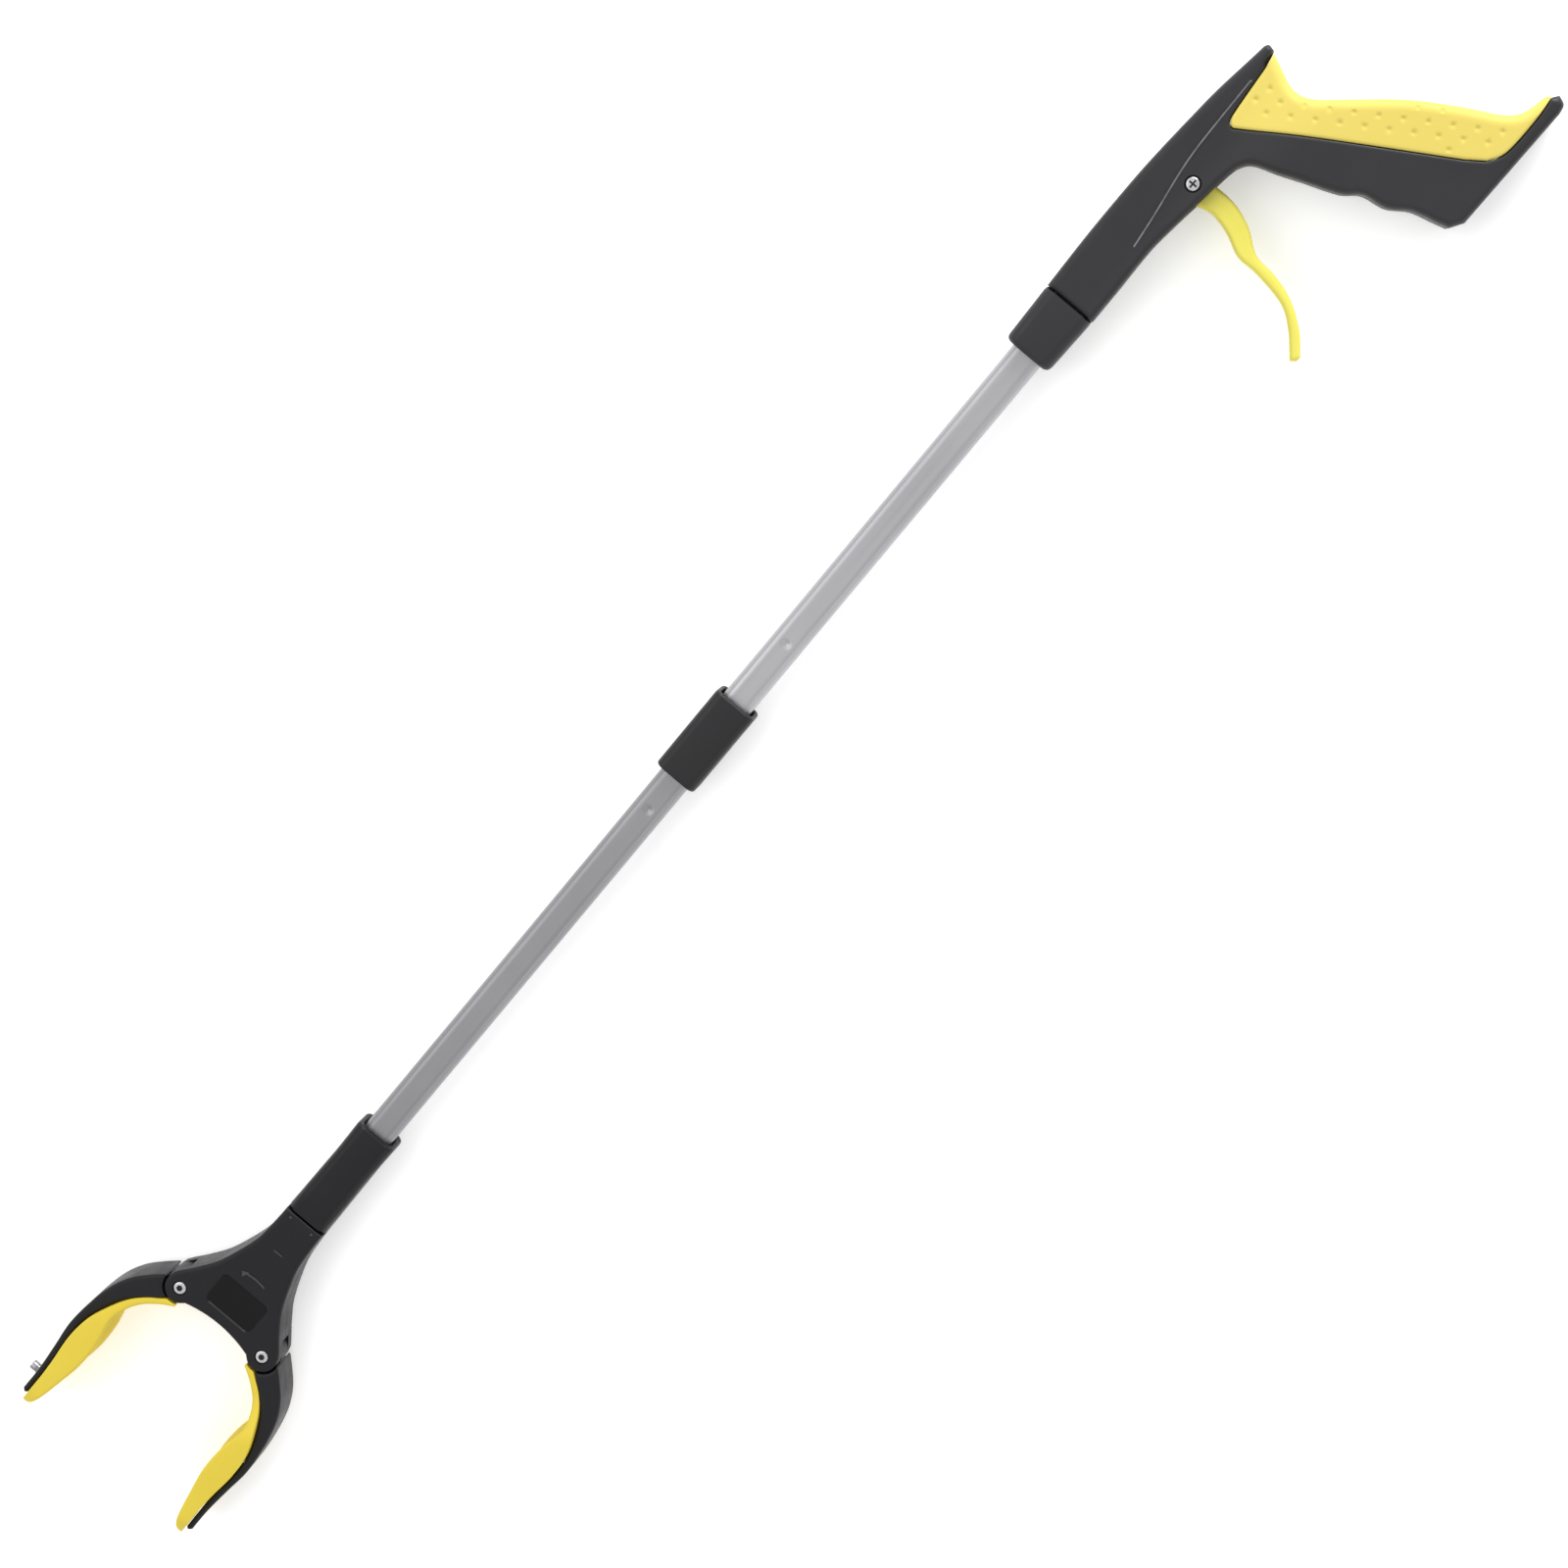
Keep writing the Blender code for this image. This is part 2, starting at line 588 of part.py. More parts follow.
def body_outline():
    """The claw housing: a flared neck, an ear round each jaw pivot and the mouth's arc."""
    edge = flowing(BODY_EDGE, 3) + BODY_EAR
    ear = arc(JAW_PIVOT, EAR_R, 68, 215, 12)
    mouth_y = ear[-1][1]
    mouth = [(MOUTH_X - (mouth_y * k / 4) ** 2 / (2 * MOUTH_R), mouth_y * k / 4) for k in (3, 2, 1)]
    half = edge + ear + mouth
    return half + [(MOUTH_X, 0.0)] + mirrored(half)


def cam_slot():
    """The slot's middle line in the crosshead, from open to closed.

    The crosshead moves by the same amount for each degree of the jaw, and the jaw's tail pin
    stays in the slot all the way.
    """
    line = []
    steps = 6
    for i in range(steps + 1):
        share = i / steps
        angle = TAIL_START + JAW_SWING * share
        x = JAW_PIVOT[0] + TAIL_R * math.cos(angle) + ROD_STROKE * share
        line.append((x, JAW_PIVOT[1] + TAIL_R * math.sin(angle)))
    return line


def band(line, radius, steps=5):
    """The outline at a constant distance round an open line, with round ends."""
    ahead = [Vector(b) - Vector(a) for a, b in zip(line, line[1:])]
    ahead.append(ahead[-1])
    left, right = [], []
    for point, way in zip(line, ahead):
        side = Vector((-way.y, way.x)).normalized() * radius
        left.append(tuple(Vector(point) + side))
        right.append(tuple(Vector(point) - side))
    start = math.degrees(math.atan2(ahead[0].y, ahead[0].x))
    end = math.degrees(math.atan2(ahead[-1].y, ahead[-1].x))
    tail = arc(line[0], radius, start + 90, start + 270, steps)
    head = arc(line[-1], radius, end - 90, end + 90, steps)
    return counter_clockwise(right[1:-1] + head + left[1:-1][::-1] + tail)


def yoke_seen_from_jaw(share):
    """Where the crosshead's slotted end lies in the jaw's own frame, part of the way to closed."""
    turn = -JAW_SWING * share
    points = []
    for x, y in band(cam_slot(), TAIL_PIN_R + SLOT_WALL + GAP):
        x, y = x - ROD_STROKE * share - JAW_PIVOT[0], y - JAW_PIVOT[1]
        points.append(
            (
                JAW_PIVOT[0] + x * math.cos(turn) - y * math.sin(turn),
                JAW_PIVOT[1] + x * math.sin(turn) + y * math.cos(turn),
            )
        )
    return points


def build_claw(arm):
    head = axis_empty("claw_swivel_axis", arm, (-266.0, 0.0, 0.0))
    chamber = [(-307, 17.0), (-313, 21.4), (-317, 23.6), (-323, 25), (-331, 12)]
    chamber += [(-324.6, 12), (-324.0, 0)]
    chamber = counter_clockwise(chamber + mirrored(chamber[:-1]))
    for side, name in ((1, "claw_shell_front"), (-1, "claw_shell_back")):
        z = sorted((side * GAP / 2, side * CLAW_HALF_Z))
        rounds = (0, 1.2) if side > 0 else (1.2, 0)
        shell = piece(name, slab(body_outline(), *z, *rounds), BLACK, head)
        depth = sorted((-side, side * (TONGUE_HALF_Z + GAP)))
        cut(shell, slab(chamber, *depth))
        for way in (1, -1):
            pivot = (JAW_PIVOT[0], way * JAW_PIVOT[1])
            cut(shell, slab(circle(pivot, 9.3), *depth))
            cut(shell, rod((*pivot, -12), (*pivot, 12), JAW_SCREW_R + 0.2))
        tip, end = SPIGOT_X
        cut(shell, rod((tip - 1, 0, 0), (end, 0, 0), SPIGOT_R + GAP))
        flange = [(SPIGOT_FLANGE_X[0] - 0.4, 0, 0), (SPIGOT_FLANGE_X[1] + 0.4, 0, 0)]
        cut(shell, rod(*flange, SPIGOT_FLANGE_R + GAP))
        cut(shell, rod((SPRING_SEAT_X, 0, 0), (tip, 0, 0), SPRING_ROOM_R))
        cut(shell, rod((CROSSHEAD_END_X - 0.5, 0, 0), (-300, 0, 0), CROSSHEAD_STEM_R + 0.5))
        rim = side * CLAW_HALF_Z
        for way in (1, -1):
            spot = (JAW_PIVOT[0], way * JAW_PIVOT[1])
            cut(shell, rod((*spot, rim - side * 1.3), (*spot, rim + side * 5), 3.1))
            screw_spot = (CLAW_SCREW[0], way * CLAW_SCREW[1])
            cut(shell, rod((*screw_spot, -15 if side < 0 else -1), (*screw_spot, 5.6), 1.4))
            if side < 0:
                cut(shell, rod((*screw_spot, -15), (*screw_spot, -8.4), 2.6))
        if side > 0:
            panel = [(x - 313.7, y) for x, y in rounded_rectangle(7.7, 12.3, 3)]
            cut(shell, slab(panel, CLAW_HALF_Z - 0.5, CLAW_HALF_Z + 2))
    for way, name in ((1, "upper"), (-1, "lower")):
        spot = (JAW_PIVOT[0], way * JAW_PIVOT[1])
        shank = rod((*spot, -8.8), (*spot, 9.2), JAW_SCREW_R)
        screw = piece(f"jaw_pivot_screw_{name}", shank, STEEL, head)
        join(screw, slab(circle(spot, 2.8), 9.0, 10.1, 0, 0.5))
        nut = rod((*spot, -10.0), (*spot, -9.1), 2.9, 6)
        piece(f"jaw_pivot_nut_{name}", nut, STEEL, head)
        spot = (CLAW_SCREW[0], way * CLAW_SCREW[1])
        screw = piece(f"claw_shell_screw_{name}", rod((*spot, -9.0), (*spot, 5.2), 1.1), STEEL, head)
        join(screw, slab(circle(spot, 2.3, 16), -9.7, -8.7, 0.4, 0))
    build_crosshead(head)
    for way, name in ((1, "upper"), (-1, "lower")):
        build_jaw(head, way, name)


def build_crosshead(head):
    """The sliding yoke: a round stem, a flange for the spring and a plate with two cam slots."""
    axis = axis_empty("crosshead_axis", head, (0, 0, 0))
    start = PLUNGER_X - GAP
    flange = rod((start - 2.2, 0, 0), (start, 0, 0), CROSSHEAD_FLANGE_R)
    yoke = piece("crosshead", flange, ACETAL, axis)
    join(yoke, rod((CROSSHEAD_END_X, 0, 0), (start - 1, 0, 0), CROSSHEAD_STEM_R))
    slot = cam_slot()
    for way in (1, -1):
        line = [(x, way * y) for x, y in slot]
        link = [(-311.0, 0.0), (-311.0, way * 4.0), (-316.0, way * 14.2), line[-1]]
        link += [line[0], (-319.5, way * 12.5), (-315.5, 0.0)]
        for shape in (link, band(line, TAIL_PIN_R + SLOT_WALL)):
            join(yoke, slab(shape, -CROSSHEAD_HALF_Z, CROSSHEAD_HALF_Z))
    for way in (1, -1):
        line = [(x, way * y) for x, y in slot]
        cut(yoke, slab(band(line, TAIL_PIN_R + 0.25), -3, 3))
    coil = []
    turns, sides = 5, 10
    first, last = start - 2.9, SPRING_SEAT_X + 0.7
    for i in range(turns * sides + 1):
        turn = 2 * math.pi * i / sides
        x = first + (last - first) * i / (turns * sides)
        coil.append((x, 3.6 * math.cos(turn), 3.6 * math.sin(turn)))
    wire("claw_return_spring", coil, 0.4, STEEL, axis)


def build_jaw(head, way, name):
    """One jaw: arm, cupped soft pad and tail pin, drawn for the upper side and mirrored."""
    pivot = (JAW_PIVOT[0], way * JAW_PIVOT[1])
    axis = axis_empty(f"jaw_{name}_axis", head, pivot)

    def on_side(points):
        return counter_clockwise([(x, way * y) for x, y in points])

    outer = flowing(ARM_OUTER + ARM_TIP[:3], 2) + ARM_TIP[3:]
    inner = flowing(ARM_INNER + ARM_ROOT, 2)
    arm_shape = outer + inner + arc(JAW_PIVOT, EAR_R + 0.5, 163, 84, 7)
    jaw = piece(
        f"jaw_arm_{name}", slab(on_side(arm_shape), -JAW_HALF_Z, JAW_HALF_Z, 0.8, 0.8), BLACK, axis, pivot
    )
    join(jaw, slab(on_side(circle(JAW_PIVOT, 5.0)), -TONGUE_HALF_Z, TONGUE_HALF_Z))
    web = [(-328, 22.5), (-336, 30), (-331.5, 36.5), (-322.5, 27)]
    join(jaw, slab(on_side(web), -TONGUE_HALF_Z, TONGUE_HALF_Z))
    tail = (JAW_PIVOT[0] + TAIL_R * math.cos(TAIL_START), JAW_PIVOT[1] + TAIL_R * math.sin(TAIL_START))
    for z in ((FORK_HALF_Z + 0.2, TONGUE_HALF_Z), (-TONGUE_HALF_Z, -FORK_HALF_Z - 0.2)):
        join(jaw, slab(on_side(band([JAW_PIVOT, tail], 2.5)), *z))
    cut(jaw, slab(on_side(circle(tail, 6.6)), -FORK_HALF_Z, FORK_HALF_Z))
    for share in (0.25, 0.5, 0.75, 1.0):
        cut(jaw, slab(on_side(yoke_seen_from_jaw(share)), -FORK_HALF_Z, FORK_HALF_Z))
    cut(jaw, rod((*pivot, -9), (*pivot, 9), JAW_SCREW_R + 0.15))
    pin_at = (tail[0], way * tail[1])
    cut(jaw, rod((*pin_at, -9), (*pin_at, 9), TAIL_PIN_R + 0.1))
    piece(f"tail_pin_{name}", rod((*pin_at, -3.9), (*pin_at, 3.9), TAIL_PIN_R), STEEL, axis)

    back = flowing([ARM_TIP[4]] + ARM_INNER + ARM_ROOT, 2)
    front = flowing(PAD_TIP + PAD_EDGE + PAD_ROOT, 2)
    back[:2] = [(x, y - 0.45) for x, y in back[:2]]
    shape = [(-409.6, 44.2)] + front + arc(JAW_PIVOT, EAR_R + 0.7, 202, 172, 4) + back[::-1]
    pad = piece(
        f"jaw_pad_{name}", slab(on_side(shape), -PAD_HALF_Z, PAD_HALF_Z, 0.7, 0.7), SOFT, axis, pivot
    )
    grown = slab(on_side(inset(counter_clockwise(arm_shape), -GAP)), -JAW_HALF_Z - GAP, JAW_HALF_Z + GAP)
    cut(pad, grown)
    if way > 0:
        base = (-400.2, 47.4)
        magnet = rod((*base, 0), (base[0], base[1] + 3.6, 0), 2.1)
        piece("tip_magnet", magnet, STEEL, axis)


def settle(root):
    """Moves the root so that the origin is at the bottom centre of the tool's box."""
    bpy.context.view_layer.update()
    corners = []
    for obj in bpy.context.scene.objects:
        if obj.type in ("MESH", "CURVE") and not obj.hide_render:
            corners += [obj.matrix_world @ Vector(corner) for corner in obj.bound_box]
    low = Vector([min(corner[i] for corner in corners) for i in range(3)])
    high = Vector([max(corner[i] for corner in corners) for i in range(3)])
    root.location = (-(low.x + high.x) / 2, -(low.y + high.y) / 2, -low.z)


def main():
    clear_scene()
    root = axis_empty("reacher_grabber", None, (0, 0, 0))
    build_handle(root)
    build_trigger(root)
    build_upper_tube(root)
    build_upper_rod(root)
    build_lock_sleeve(root)
    arm = axis_empty("lower_arm_axis", root, FOLD_PIVOT)
    build_lower_arm(arm)
    build_claw(arm)
    settle(root)


main()
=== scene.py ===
"""The looks of the folding reacher grabber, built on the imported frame.

Shapes are drawn in millimetres in the tool's own frame: X along the tubes towards the handle,
Y away from the trigger, Z through the thickness, all zero at the middle of the lock sleeve.
"""

import math

import bmesh
import bpy
import numpy as np
from mathutils import Matrix, Vector
from mathutils.geometry import delaunay_2d_cdt


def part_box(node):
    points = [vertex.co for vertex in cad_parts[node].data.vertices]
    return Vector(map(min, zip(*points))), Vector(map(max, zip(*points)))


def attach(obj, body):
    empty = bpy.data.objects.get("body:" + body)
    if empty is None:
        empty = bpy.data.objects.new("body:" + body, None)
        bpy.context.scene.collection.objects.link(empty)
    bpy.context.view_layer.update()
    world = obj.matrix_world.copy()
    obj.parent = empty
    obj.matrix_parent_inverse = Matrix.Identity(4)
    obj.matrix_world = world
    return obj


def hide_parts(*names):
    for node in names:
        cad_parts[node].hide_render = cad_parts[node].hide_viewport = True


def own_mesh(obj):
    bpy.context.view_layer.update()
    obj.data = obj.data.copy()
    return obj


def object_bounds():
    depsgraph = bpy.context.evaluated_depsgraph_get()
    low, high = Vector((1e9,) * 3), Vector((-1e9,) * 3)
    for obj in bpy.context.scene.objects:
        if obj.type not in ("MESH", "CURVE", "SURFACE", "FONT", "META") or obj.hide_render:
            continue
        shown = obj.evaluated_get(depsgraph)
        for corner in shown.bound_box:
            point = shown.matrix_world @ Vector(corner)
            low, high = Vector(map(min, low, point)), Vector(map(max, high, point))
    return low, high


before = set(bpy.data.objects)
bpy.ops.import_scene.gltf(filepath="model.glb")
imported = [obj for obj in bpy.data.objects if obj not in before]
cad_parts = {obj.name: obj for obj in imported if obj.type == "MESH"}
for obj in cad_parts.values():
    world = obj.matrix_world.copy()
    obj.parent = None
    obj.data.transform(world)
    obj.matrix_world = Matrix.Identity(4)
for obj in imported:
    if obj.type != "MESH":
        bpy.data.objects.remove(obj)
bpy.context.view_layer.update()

MM = 0.001
SLEEVE_LOW, SLEEVE_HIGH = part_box("lock_sleeve")
ORIGIN = (SLEEVE_LOW + SLEEVE_HIGH) / 2  # the tool's own zero, in the row frame


def measured(node):
    """A CAD node's lowest and highest corner in millimetres, in the tool's own frame."""
    low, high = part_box(node)
    return (low - ORIGIN) / MM, (high - ORIGIN) / MM


def x_range(node):
    """Where a CAD node starts and ends along the tool."""
    return tuple(corner.x for corner in measured(node))


# Main sizes, read from the frame or repeated from the design
SLEEVE_HALF_LENGTH = (SLEEVE_HIGH.x - SLEEVE_LOW.x) / 2 / MM
COLLAR_X, NECK_X = x_range("nose_collar"), x_range("neck_socket")
UPPER_TUBE_X, LOWER_TUBE_X = x_range("upper_tube"), x_range("lower_tube")
TUBE_HALF_Y, TUBE_HALF_Z, TUBE_CORNER, TUBE_WALL = 6.7, 6.3, 3.6, 0.9
NOSE_HALF_Z = 11.5
GRIP_HALF_Z = measured("grip_cover")[1].z
PAD_HALF_Z = measured("jaw_pad_upper")[1].z
CLAW_HALF_Z = measured("claw_shell_front")[1].z
ARM_HALF_Z = CLAW_HALF_Z
TRIGGER_HALF_Z = 4.9
TRIGGER_PIVOT = (288.0, -7.0)
TRIGGER_ARM = 7.0
JAW_PIVOT = (-325.0, 22.5)
TONGUE_HALF_Z = 4.0
EAR_R = 7.0
MOUTH_X, MOUTH_R = -326.5, 54.0
PARTING = 0.08  # how far a half's flat face stays off the mid-plane
OVERLAP = 2.0  # how far a cutter reaches past the mid-plane


# ---- Outlines

FLOW_STEPS = 6  # pieces of a smooth line between two of its points
CORNER_STEPS = 10


def arc(centre, radius, start_deg, end_deg, steps):
    """Points on an arc, both ends included."""
    points = []
    for i in range(steps + 1):
        angle = math.radians(start_deg + (end_deg - start_deg) * i / steps)
        points.append((centre[0] + radius * math.cos(angle), centre[1] + radius * math.sin(angle)))
    return points


def circle(centre, radius, sides=48):
    return arc(centre, radius, 0.0, 360.0, sides)[:-1]


def quarter(steps):
    """The sine and cosine from 0 to 90 degrees in even steps."""
    turns = [math.radians(90 * k / steps) for k in range(steps + 1)]
    return [(math.sin(turn), math.cos(turn)) for turn in turns]


def flowing(points):
    """A smooth Catmull-Rom line through the points, ends included."""
    ends = [points[0]] + list(points) + [points[-1]]
    line = []
    for i in range(1, len(ends) - 2):
        p0, p1, p2, p3 = (np.array(p, float) for p in ends[i - 1 : i + 3])
        for t in (k / FLOW_STEPS for k in range(FLOW_STEPS)):
            square = (2 * p0 - 5 * p1 + 4 * p2 - p3) * t**2
            cube = (3 * p1 - p0 - 3 * p2 + p3) * t**3
            line.append(tuple(0.5 * (2 * p1 + (p2 - p0) * t + square + cube)))
    line.append(tuple(float(v) for v in points[-1]))
    return line


def mirrored(points):
    """The line on the other side of the X axis, in the opposite order."""
    return [(x, -y) for x, y in reversed(points)]


def rectangle(x_low, y_low, x_high, y_high):
    return [(x_low, y_low), (x_high, y_low), (x_high, y_high), (x_low, y_high)]


def rounded_rectangle(half_a, half_b, radius):
    a, b = half_a - radius, half_b - radius
    points = []
    for centre, start in (((a, b), 0), ((-a, b), 90), ((-a, -b), 180), ((a, -b), 270)):
        points += arc(centre, radius, start, start + 90, CORNER_STEPS)
    return points


def counter_clockwise(points):
    """The closed outline in counter-clockwise order."""
    pts = np.array(points)
    after = np.roll(pts, -1, axis=0)
    twice_area = np.sum(pts[:, 0] * after[:, 1] - after[:, 0] * pts[:, 1])
    return list(points) if twice_area > 0 else list(points)[::-1]


def inward_normals(ring):
    """The unit direction into a counter-clockwise ring, at each of its points."""
    ahead = np.roll(ring, -1, axis=0) - np.roll(ring, 1, axis=0)
    inward = np.stack([-ahead[:, 1], ahead[:, 0]], axis=1)
    return inward / np.linalg.norm(inward, axis=1)[:, None]


def resampled(points, spacing, closed=True):
    """The same line with extra points, none further apart than spacing, and doubles dropped."""
    line = []
    ends = list(points) + ([points[0]] if closed else [])
    for (x0, y0), (x1, y1) in zip(ends, ends[1:]):
        length = math.hypot(x1 - x0, y1 - y0)
        if length < 1e-4:
            continue
        parts = max(1, math.ceil(length / spacing))
        line += [(x0 + (x1 - x0) * i / parts, y0 + (y1 - y0) * i / parts) for i in range(parts)]
    if not closed:
        line.append(points[-1])
    return line


def distance_to(points, line, closed=True):
    """How far each point is from a line."""
    pts = np.array(points, float)
    a = np.array(line, float)
    b = np.roll(a, -1, axis=0)
    if not closed:
        a, b = a[:-1], b[:-1]
    best = np.full(len(pts), 1e9)
    for start, end in zip(a, b):
        way = end - start
        share = np.clip(((pts - start) @ way) / max(float(way @ way), 1e-12), 0, 1)
        best = np.minimum(best, np.linalg.norm(pts - (start + share[:, None] * way), axis=1))
    return best


def nearest(points, spots):
    """The distance from each point to the nearest of the spots."""
    apart = np.asarray(points)[:, None] - np.asarray(spots)[None]
    return np.linalg.norm(apart, axis=2).min(axis=1)


def inside(points, outline):
    """Which points lie inside a closed outline."""
    pts = np.array(points, float)
    ring = np.array(outline, float)
    found = np.zeros(len(pts), bool)
    for (x0, y0), (x1, y1) in zip(ring, np.roll(ring, -1, axis=0)):
        crosses = (y0 > pts[:, 1]) != (y1 > pts[:, 1])
        with np.errstate(divide="ignore", invalid="ignore"):
            at = (x1 - x0) * (pts[:, 1] - y0) / (y1 - y0) + x0
        found ^= crosses & (pts[:, 0] < at)
    return found


def smooth_step(value):
    """An even rise from 0 to 1 with level ends."""
    value = np.clip(value, 0, 1)
    return value * value * (3 - 2 * value)


# ---- Meshes


SHARP_DEG = 38.0


def to_object(name, bm, sharp_deg=SHARP_DEG):
    """Moves a mesh from the tool's millimetres into the row frame and names it."""
    for vert in bm.verts:
        vert.co = ORIGIN + vert.co * MM
    bmesh.ops.recalc_face_normals(bm, faces=bm.faces)
    mesh = bpy.data.meshes.new(name)
    bm.to_mesh(mesh)
    bm.free()
    obj = bpy.data.objects.new(name, mesh)
    bpy.context.scene.collection.objects.link(obj)
    mesh.shade_smooth()
    mesh.set_sharp_from_angle(angle=math.radians(sharp_deg))
    return obj


def skinned(rings, closed=False):
    """A mesh through rings of equal length, capped, or closed into a hollow ring."""
    bm = bmesh.new()
    rows = [[bm.verts.new(point) for point in ring] for ring in rings]
    count = len(rings[0])
    pairs = list(zip(rows, rows[1:])) + ([(rows[-1], rows[0])] if closed else [])
    for low, high in pairs:
        for i in range(count):
            k = (i + 1) % count
            bm.faces.new((low[i], low[k], high[k], high[i]))
    if not closed:
        bm.faces.new(rows[0][::-1])
        bm.faces.new(rows[-1])
    return bm


def hollow_bar(sections):
    """A tube along X through (x, half_y, half_z, corner), out along the outside and back inside."""
    rings = [[(x, y, z) for y, z in rounded_rectangle(hy, hz, r)] for x, hy, hz, r in sections]
    return skinned(rings, closed=True)


def prism(outline, *heights):
    """A solid with this outline between two heights, given in either order."""
    z_low, z_high = sorted(heights)
    outline = counter_clockwise(outline)
    return skinned([[(x, y, z) for x, y in outline] for z in (z_low, z_high)])


def bar(start, end, radius, sides=32):
    """A round bar between two points."""
    start, end = Vector(start), Vector(end)
    bm = bmesh.new()
    turn = (end - start).to_track_quat("Z", "Y").to_matrix().to_4x4()
    bmesh.ops.create_cone(
        bm,
        cap_ends=True,
        segments=sides,
        radius1=radius,
        radius2=radius,
        depth=(end - start).length,
        matrix=Matrix.Translation((start + end) / 2) @ turn,
    )
    return bm


def turned(centre, axis, profile, sides=40):
    """A turned solid: profile is (radius, height) from the bottom's middle to the top's middle."""
    turn = Vector(axis).to_track_quat("Z", "Y").to_matrix()
    bm = bmesh.new()
    rows = []
    for radius, height in profile:
        if radius < 1e-6:
            rows.append([bm.verts.new(Vector(centre) + turn @ Vector((0, 0, height)))])
            continue
        row = []
        for i in range(sides):
            angle = 2 * math.pi * i / sides
            spot = Vector((radius * math.cos(angle), radius * math.sin(angle), height))
            row.append(bm.verts.new(Vector(centre) + turn @ spot))
        rows.append(row)
    for low, high in zip(rows, rows[1:]):
        for i in range(sides):
            k = (i + 1) % sides
            corners = [low[i % len(low)], low[k % len(low)], high[k % len(high)], high[i % len(high)]]
            unique = list(dict.fromkeys(corners))
            if len(unique) > 2:
                bm.faces.new(unique)
    return bm


def carved(outline, height, rims=(), creases=(), folds=(), spots=(), spacing=1.0, both_sides=False):
    """A solid whose top is height(points) over the outline, on a flat base or mirrored in Z.

    rims are distances from the outline where extra points follow a rounded edge, creases are
    closed loops and folds open lines that the triangles must follow, and spots are extra points.
    """
    outline = counter_clockwise(resampled(outline, spacing))
    ring = np.array(outline)
    inward = inward_normals(ring)
    low, high = ring.min(axis=0), ring.max(axis=0)
    columns = np.arange(low[0], high[0], spacing)
    rows = np.arange(low[1], high[1], spacing * 0.87)
    grid = [(x + (spacing / 2 if j % 2 else 0), y) for j, y in enumerate(rows) for x in columns]
    free = [point for point, good in zip(grid, inside(grid, outline)) if good]
    guides = [(resampled(loop, spacing), True) for loop in creases]
    guides += [(resampled(line, spacing, closed=False), False) for line in folds]
    keep = distance_to(free, outline) > (max(rims) + 0.3 * spacing if rims else 0.45 * spacing)
    for line, closed in guides:
        keep &= distance_to(free, line, closed) > 0.4 * spacing
    if len(spots):
        keep &= nearest(free, spots) > 0.4 * spacing
    points = [point for point, good in zip(free, keep) if good]
    for rim in rims:
        stepped = ring + inward * rim
        good = inside(stepped, outline) & (distance_to(stepped, outline) > rim * 0.97)
        if len(spots):
            good &= nearest(stepped, spots) > 0.4 * spacing
        points += [tuple(point) for point, fine in zip(stepped, good) if fine]
    verts = [tuple(p) for p in outline]
    edges = []
    for line, closed in guides:
        start, count = len(verts), len(line)
        verts += line
        edges += [(start + i, start + (i + 1) % count) for i in range(count if closed else count - 1)]
    verts += [(float(x), float(y)) for x, y in [*points, *spots]]
    edges += [(i, (i + 1) % len(outline)) for i in range(len(outline))]
    found = delaunay_2d_cdt([Vector(p) for p in verts], edges, [], 0, 1e-4, True)
    flat = np.array([(v.x, v.y) for v in found[0]])
    centres = [tuple(flat[list(face)].mean(axis=0)) for face in found[2]]
    triangles = [face for face, good in zip(found[2], inside(centres, outline)) if good]
    tops = height(flat)
    bm = bmesh.new()
    upper = [bm.verts.new((x, y, z)) for (x, y), z in zip(flat, tops)]
    base = -tops if both_sides else np.full(len(flat), PARTING)
    lower = [bm.verts.new((x, y, z)) for (x, y), z in zip(flat, base)]
    for face in triangles:
        bm.faces.new([upper[i] for i in face])
        bm.faces.new([lower[i] for i in face][::-1])
    below = dict(zip(upper, lower))
    for edge in [e for e in bm.edges if len(e.link_faces) == 1 and e.verts[0] in below]:
        a, b = edge.verts
        bm.faces.new((a, b, below[b], below[a]))
    bmesh.ops.delete(bm, geom=[v for v in bm.verts if not v.link_faces], context="VERTS")
    return bm


def flip(bm):
    """Mirrors a mesh in Z."""
    for vert in bm.verts:
        vert.co.z = -vert.co.z


def edge_round(distance, radius, drop):
    """How far a surface falls at a distance from its outline, for an elliptical edge."""
    share = 1 - np.clip(distance / radius, 0, 1)
    return drop * (1 - np.sqrt(np.clip(1 - share**2, 0, 1)))


def edge_steps(radius, count=5):
    """Distances from the outline that follow a rounded edge evenly."""
    return [radius * (1 - math.cos(math.radians(90 * (i + 1) / count))) for i in range(count)]


def combined(obj, operation, shapes):
    """Applies a Boolean with each helper shape in turn, and removes the helper."""
    for bm in shapes:
        helper = to_object(obj.name + "_helper", bm)
        modifier = obj.modifiers.new("combine", "BOOLEAN")
        modifier.operation = operation
        modifier.solver = "EXACT"
        modifier.object = helper
        settle(obj)
        bpy.data.objects.remove(helper, do_unlink=True)


def trimmed(obj, *cutters):
    """Cuts shapes out of a piece."""
    combined(obj, "DIFFERENCE", cutters)


def joined(obj, *others):
    """Adds shapes to a piece."""
    combined(obj, "UNION", others)


def settle(obj):
    """Applies the piece's modifiers to its mesh."""
    graph = bpy.context.evaluated_depsgraph_get()
    graph.update()
    mesh = bpy.data.meshes.new_from_object(obj.evaluated_get(graph))
    obj.modifiers.clear()
    old = obj.data
    obj.data = mesh
    bpy.data.meshes.remove(old)
    mesh.name = obj.name
    mesh.set_sharp_from_angle(angle=math.radians(SHARP_DEG))


# ---- Materials


